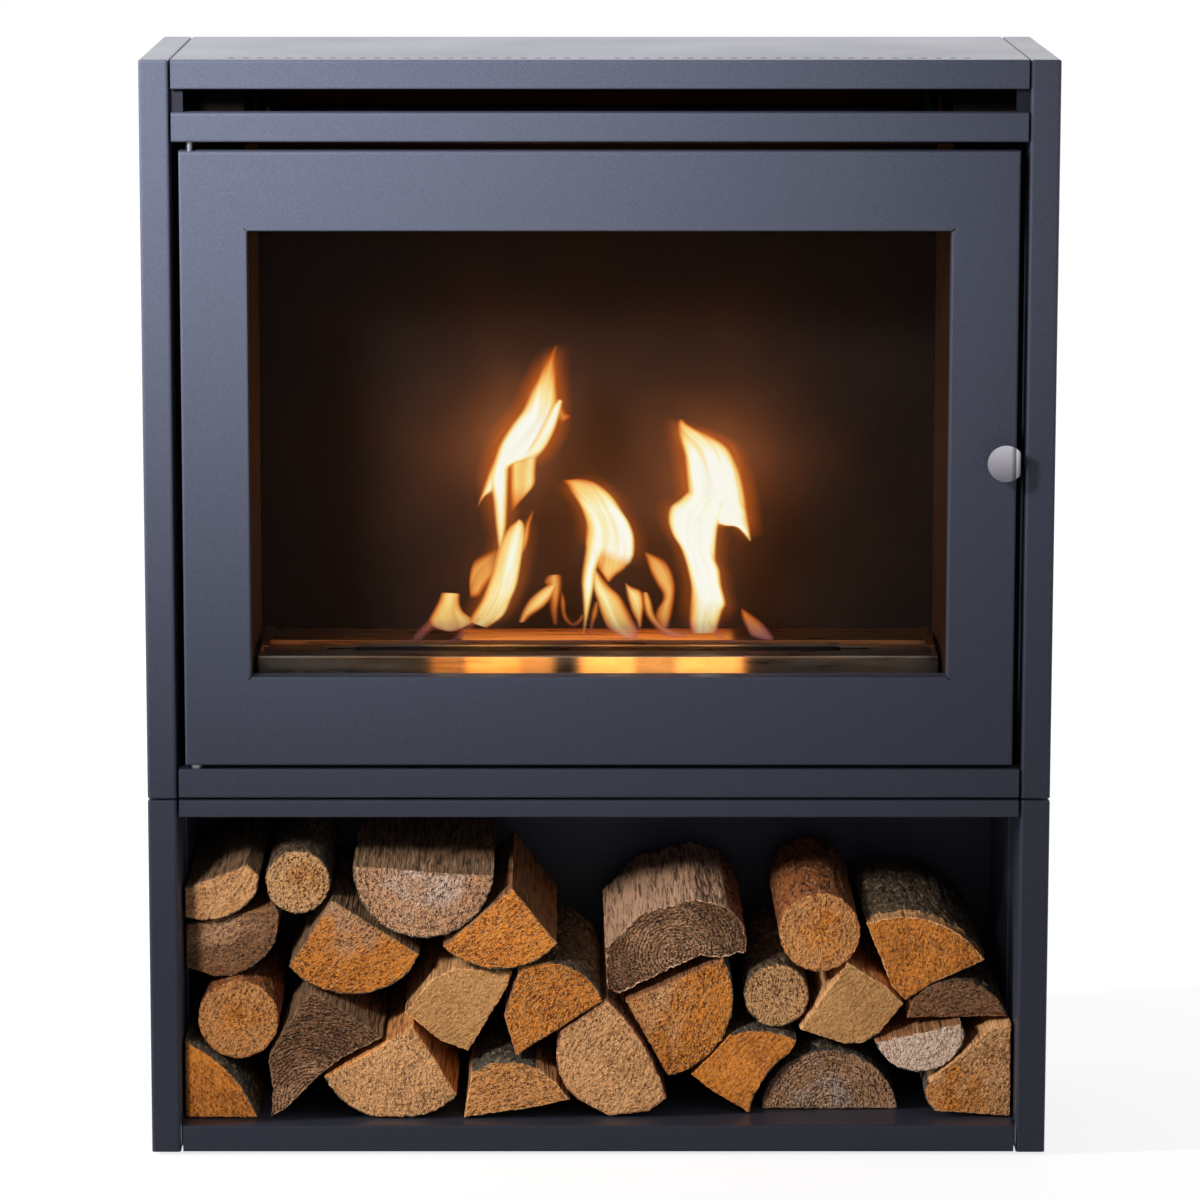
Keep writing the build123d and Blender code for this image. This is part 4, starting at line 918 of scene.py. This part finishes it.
def make_flame(name, number, tongue, material, halo=0.0):
    """One tongue, or with halo the faint glow round it: a wider sheet behind it."""
    plane = slot_centre_y + tongue.depth + (halo_behind if halo else 0.0)
    swell = halo_reach if halo else flame_swell

    def on_plane(pixel_x, pixel_y):
        pixel_y += flame_stretch * (pixel_y - flame_top_pixel) / (flame_foot_pixel - flame_top_pixel)
        place = photo_point(pixel_x, pixel_y, plane)
        return place.x, place.z

    rows = [np.array(on_plane(*row[:2]) + on_plane(*row[2:])) for row in tongue.rows]
    rings = curve_through(rows, flame_steps)
    verts, glows, flows = [], [], []
    run, before = 0.0, None
    for k, ring in enumerate(rings):
        left, right = ring[:2], ring[2:]
        centre, half = (left + right) / 2, (right - left) / 2
        wide = max(math.hypot(*half), least_half_width)
        half = half * (1.0 + swell / wide)
        wide += swell
        run += 0.0 if before is None else math.hypot(*(centre - before))
        before = centre
        middle_y = plane + sway * waves(centre[0], number, centre[1], sway_size)
        for side in range(flame_sides):
            angle = 2 * math.pi * side / flame_sides
            across = math.cos(angle)
            x, z = centre + half * across
            deep = min(wide * flame_thickness, thickest_flame) * math.sin(angle)
            verts.append((x, middle_y + deep, over_cover(z)))
            height = max(0.0, z - burner_high.z)
            glows.append(flame_glow(tongue, halo, across, k / (len(rings) - 1), wide, run, height))
            flows.append((across * wide, number * streak_step, run))
    ends = [tuple(range(flame_sides))[::-1], tuple(range(len(verts) - flame_sides, len(verts)))]
    mesh = smooth_mesh(name, verts, tube_faces(len(rings), flame_sides) + ends, [material])
    for layer in glows[0]:
        values = [glow[layer] for glow in glows]
        mesh.attributes.new(layer, "FLOAT", "POINT").data.foreach_set("value", values)
    mesh.attributes.new("flow", "FLOAT_VECTOR", "POINT").data.foreach_set("vector", np.ravel(flows))
    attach(add_object(name, mesh), "cabinet")


def light_burner():
    material = flame_material()
    for number, (name, tongue) in enumerate(tongues.items()):
        make_flame("flame_" + name, number, tongue, material)
        if tongue.halo:
            make_flame("glow_round_" + name, number, tongue, material, tongue.halo)


# ---- light, floor and background

sheen_row = 658  # the photograph's row where the burner's front shines
sheen_gap = 6.0 * mm  # from the glass to the lamps of the burner's front
fire_gap = 46.0 * mm  # from the back wall to the lamps in the fire
eye_strength, room_strength = 1.0, 0.13  # of the white background, as seen and as light
floor_half_side, floor_far = 14.0, 3.0  # from floor_far outwards its brightness holds


def add_lamp(name, kind, place, power, colour, size, aim=None, spread=180.0):
    """A lamp. Its size is a radius, or the width and height of an area; its spread is in degrees."""
    data = bpy.data.lights.new(name, kind)
    data.energy, data.color = power, colour
    if kind == "AREA":
        data.shape = "RECTANGLE"
        data.size, data.size_y = size
        data.spread = math.radians(spread)
    else:
        data.shadow_soft_size = size
    if kind == "SPOT":
        data.spot_size, data.spot_blend = math.radians(spread), 1.0
    lamp = add_object(name, data)
    lamp.location = place
    if aim is not None:
        lamp.rotation_euler = (Vector(aim) - Vector(place)).to_track_quat("-Z", "Y").to_euler()
    lamp.visible_camera = False
    return lamp


def light_only(lamp, pieces):
    """Keeps a lamp's light to the given pieces."""
    lit = bpy.data.collections.new("lit_by_" + lamp.name)
    for piece in pieces:
        lit.objects.link(piece)
    lamp.light_linking.receiver_collection = lit


def light_studio():
    key = add_lamp(
        "key", "SPOT", (-1.15, -1.85, 1.75), 425.0, (0.97, 0.98, 1.0), size=0.25,
        aim=(-0.44, front_face, 1.06), spread=41)
    key.scale = (1.12, 0.80, 1.0)  # its pool of light is wider than high
    add_lamp("sky", "AREA", (0.0, 2.3, 1.62), 8.7, (0.94, 0.93, 1.0), size=(3.2, 1.1), aim=(0.0, 0.0, 0.98))
    add_lamp("fill", "AREA", (2.1, -2.3, 1.2), 1.4, (0.94, 0.96, 1.0), size=(1.4, 1.4), aim=(0.1, 0.0, 0.5))
    flank = add_lamp(
        "flank", "AREA", (2.4, 0.6, 1.1), 13.0, (0.96, 0.97, 1.0), size=(1.2, 1.2), aim=(0.4, 0.05, 0.5))
    # The floor keeps its shadow, and the air slot stays dark inside.
    light_only(flank, [node for name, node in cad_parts.items() if not name.startswith("slot_jamb")])
    add_lamp(
        "edge", "AREA", (-2.6, -0.55, 1.0), 30.0, (0.90, 0.94, 1.0), size=(0.12, 1.3),
        aim=(0.0, front_face, 0.8))


def light_firewood(logs):
    """A low lamp for the firewood alone, which lies in the shade of its case."""
    lamp = add_lamp(
        "store", "SPOT", (-0.75, -1.40, 0.95), 94.0, (1.0, 0.96, 0.91), size=0.10,
        aim=(0.06, -0.1, 0.11), spread=47)
    light_only(lamp, logs)


def light_firebox():
    """The flames' own light: on the walls round each fire, on the burner's cover and on its front."""
    warm, orange_light = (1.0, 0.35, 0.10), (1.0, 0.48, 0.11)
    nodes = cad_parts
    walls = [nodes["firebox_" + name] for name in ("back_wall", "left_wall", "right_wall", "floor", "roof")]
    wall_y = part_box("firebox_back_wall")[0].y
    # lamps in the fire, by their place in photograph pixels
    for name, pixel, power in (
            ("glow_left", (510, 450), 3.3), ("glow_left_foot", (500, 570), 0.6),
            ("glow_middle", (608, 530), 0.9),
            ("glow_right", (712, 470), 3.3), ("glow_right_foot", (705, 575), 0.6)):
        place = photo_point(*pixel, wall_y - fire_gap)
        light_only(add_lamp(name, "POINT", place, power, warm, size=0.03), walls)
    cover = add_lamp(
        "cover_glow", "AREA", (0.0, wall_y - 0.004, cover_high.z + 0.035), 0.22, orange_light,
        size=(0.25, 0.05), aim=(0.0, cover_low.y, cover_high.z))
    light_only(cover, [nodes["burner_shutter"], nodes["shutter_guides"]])
    # bright parts of the burner's front, from one photograph column to another
    lamp_y, lamp_z = glass_inner_y + sheen_gap, (burner_low.z + burner_high.z) / 2 + 0.02
    for name, left, right, power in (
            ("sheen_edge", 431, 459, 0.0026), ("sheen_left", 464, 520, 0.0150),
            ("sheen_left_end", 522, 553, 0.0040), ("sheen_middle", 581, 637, 0.0160),
            ("sheen_right_start", 640, 672, 0.0042), ("sheen_right", 675, 745, 0.0170)):
        start, end = (photo_point(pixel, sheen_row, burner_low.y).x for pixel in (left, right))
        middle_x = (start + end) / 2
        lamp = add_lamp(
            name, "AREA", (middle_x, lamp_y, lamp_z), power, orange_light, size=(end - start, 0.07),
            aim=(middle_x, burner_low.y, lamp_z), spread=40)
        light_only(lamp, [nodes["burner_casing"]])


def white_for_eyes(s):
    """1 for camera, mirror and see-through rays, which should meet a white background."""
    path = s.add("LightPath").outputs
    mirror = s.math("MAXIMUM", path["Is Camera Ray"], path["Is Glossy Ray"])
    return s.math("MAXIMUM", mirror, path["Is Transmission Ray"])


def make_world():
    s = Shader("studio", world=True)
    strength = s.between(white_for_eyes(s), room_strength, eye_strength)
    s.finish(s.add("Background", {"Color": (1.0, 1.0, 1.0, 1.0), "Strength": strength}))
    bpy.context.scene.world = s.block


def make_floor():
    """Matt and pale, and for the camera brighter with distance, until it meets the background; its dimmer
    glow near the object is painted shade round it.
    """
    s = Shader("floor")
    base = s.mix(s.noise(s.object_coords(), 3.0, 3.0), (0.78, 0.78, 0.78, 1.0), (0.82, 0.82, 0.82, 1.0))
    matt = s.add("BsdfDiffuse", {"Color": base})
    away = s.add("VectorMath", {0: s.object_coords()}, operation="LENGTH").outputs["Value"]
    # painted shade: the glow is weakest near the object and grows outwards
    shine = s.between(s.math("DIVIDE", away, floor_far), 0.80, 0.93, 0.12)
    strength = s.times(white_for_eyes(s), shine)
    glow = s.add("Emission", {"Color": (1.0, 1.0, 1.0, 1.0), "Strength": strength})
    s.finish(s.add("AddShader", {0: matt, 1: glow}))
    shape = bmesh.new()
    bmesh.ops.create_grid(shape, x_segments=8, y_segments=8, size=floor_half_side)
    mesh = bpy.data.meshes.new("floor")
    shape.to_mesh(mesh)
    shape.free()
    mesh.materials.append(s.block)
    add_object("floor", mesh)


# ---- the scene

bpy.context.scene.view_settings.view_transform = "Standard"
make_camera()
dress_cad_nodes()
firewood = stack_firewood()
light_burner()
light_studio()
light_firewood(firewood)
light_firebox()
make_world()
make_floor()
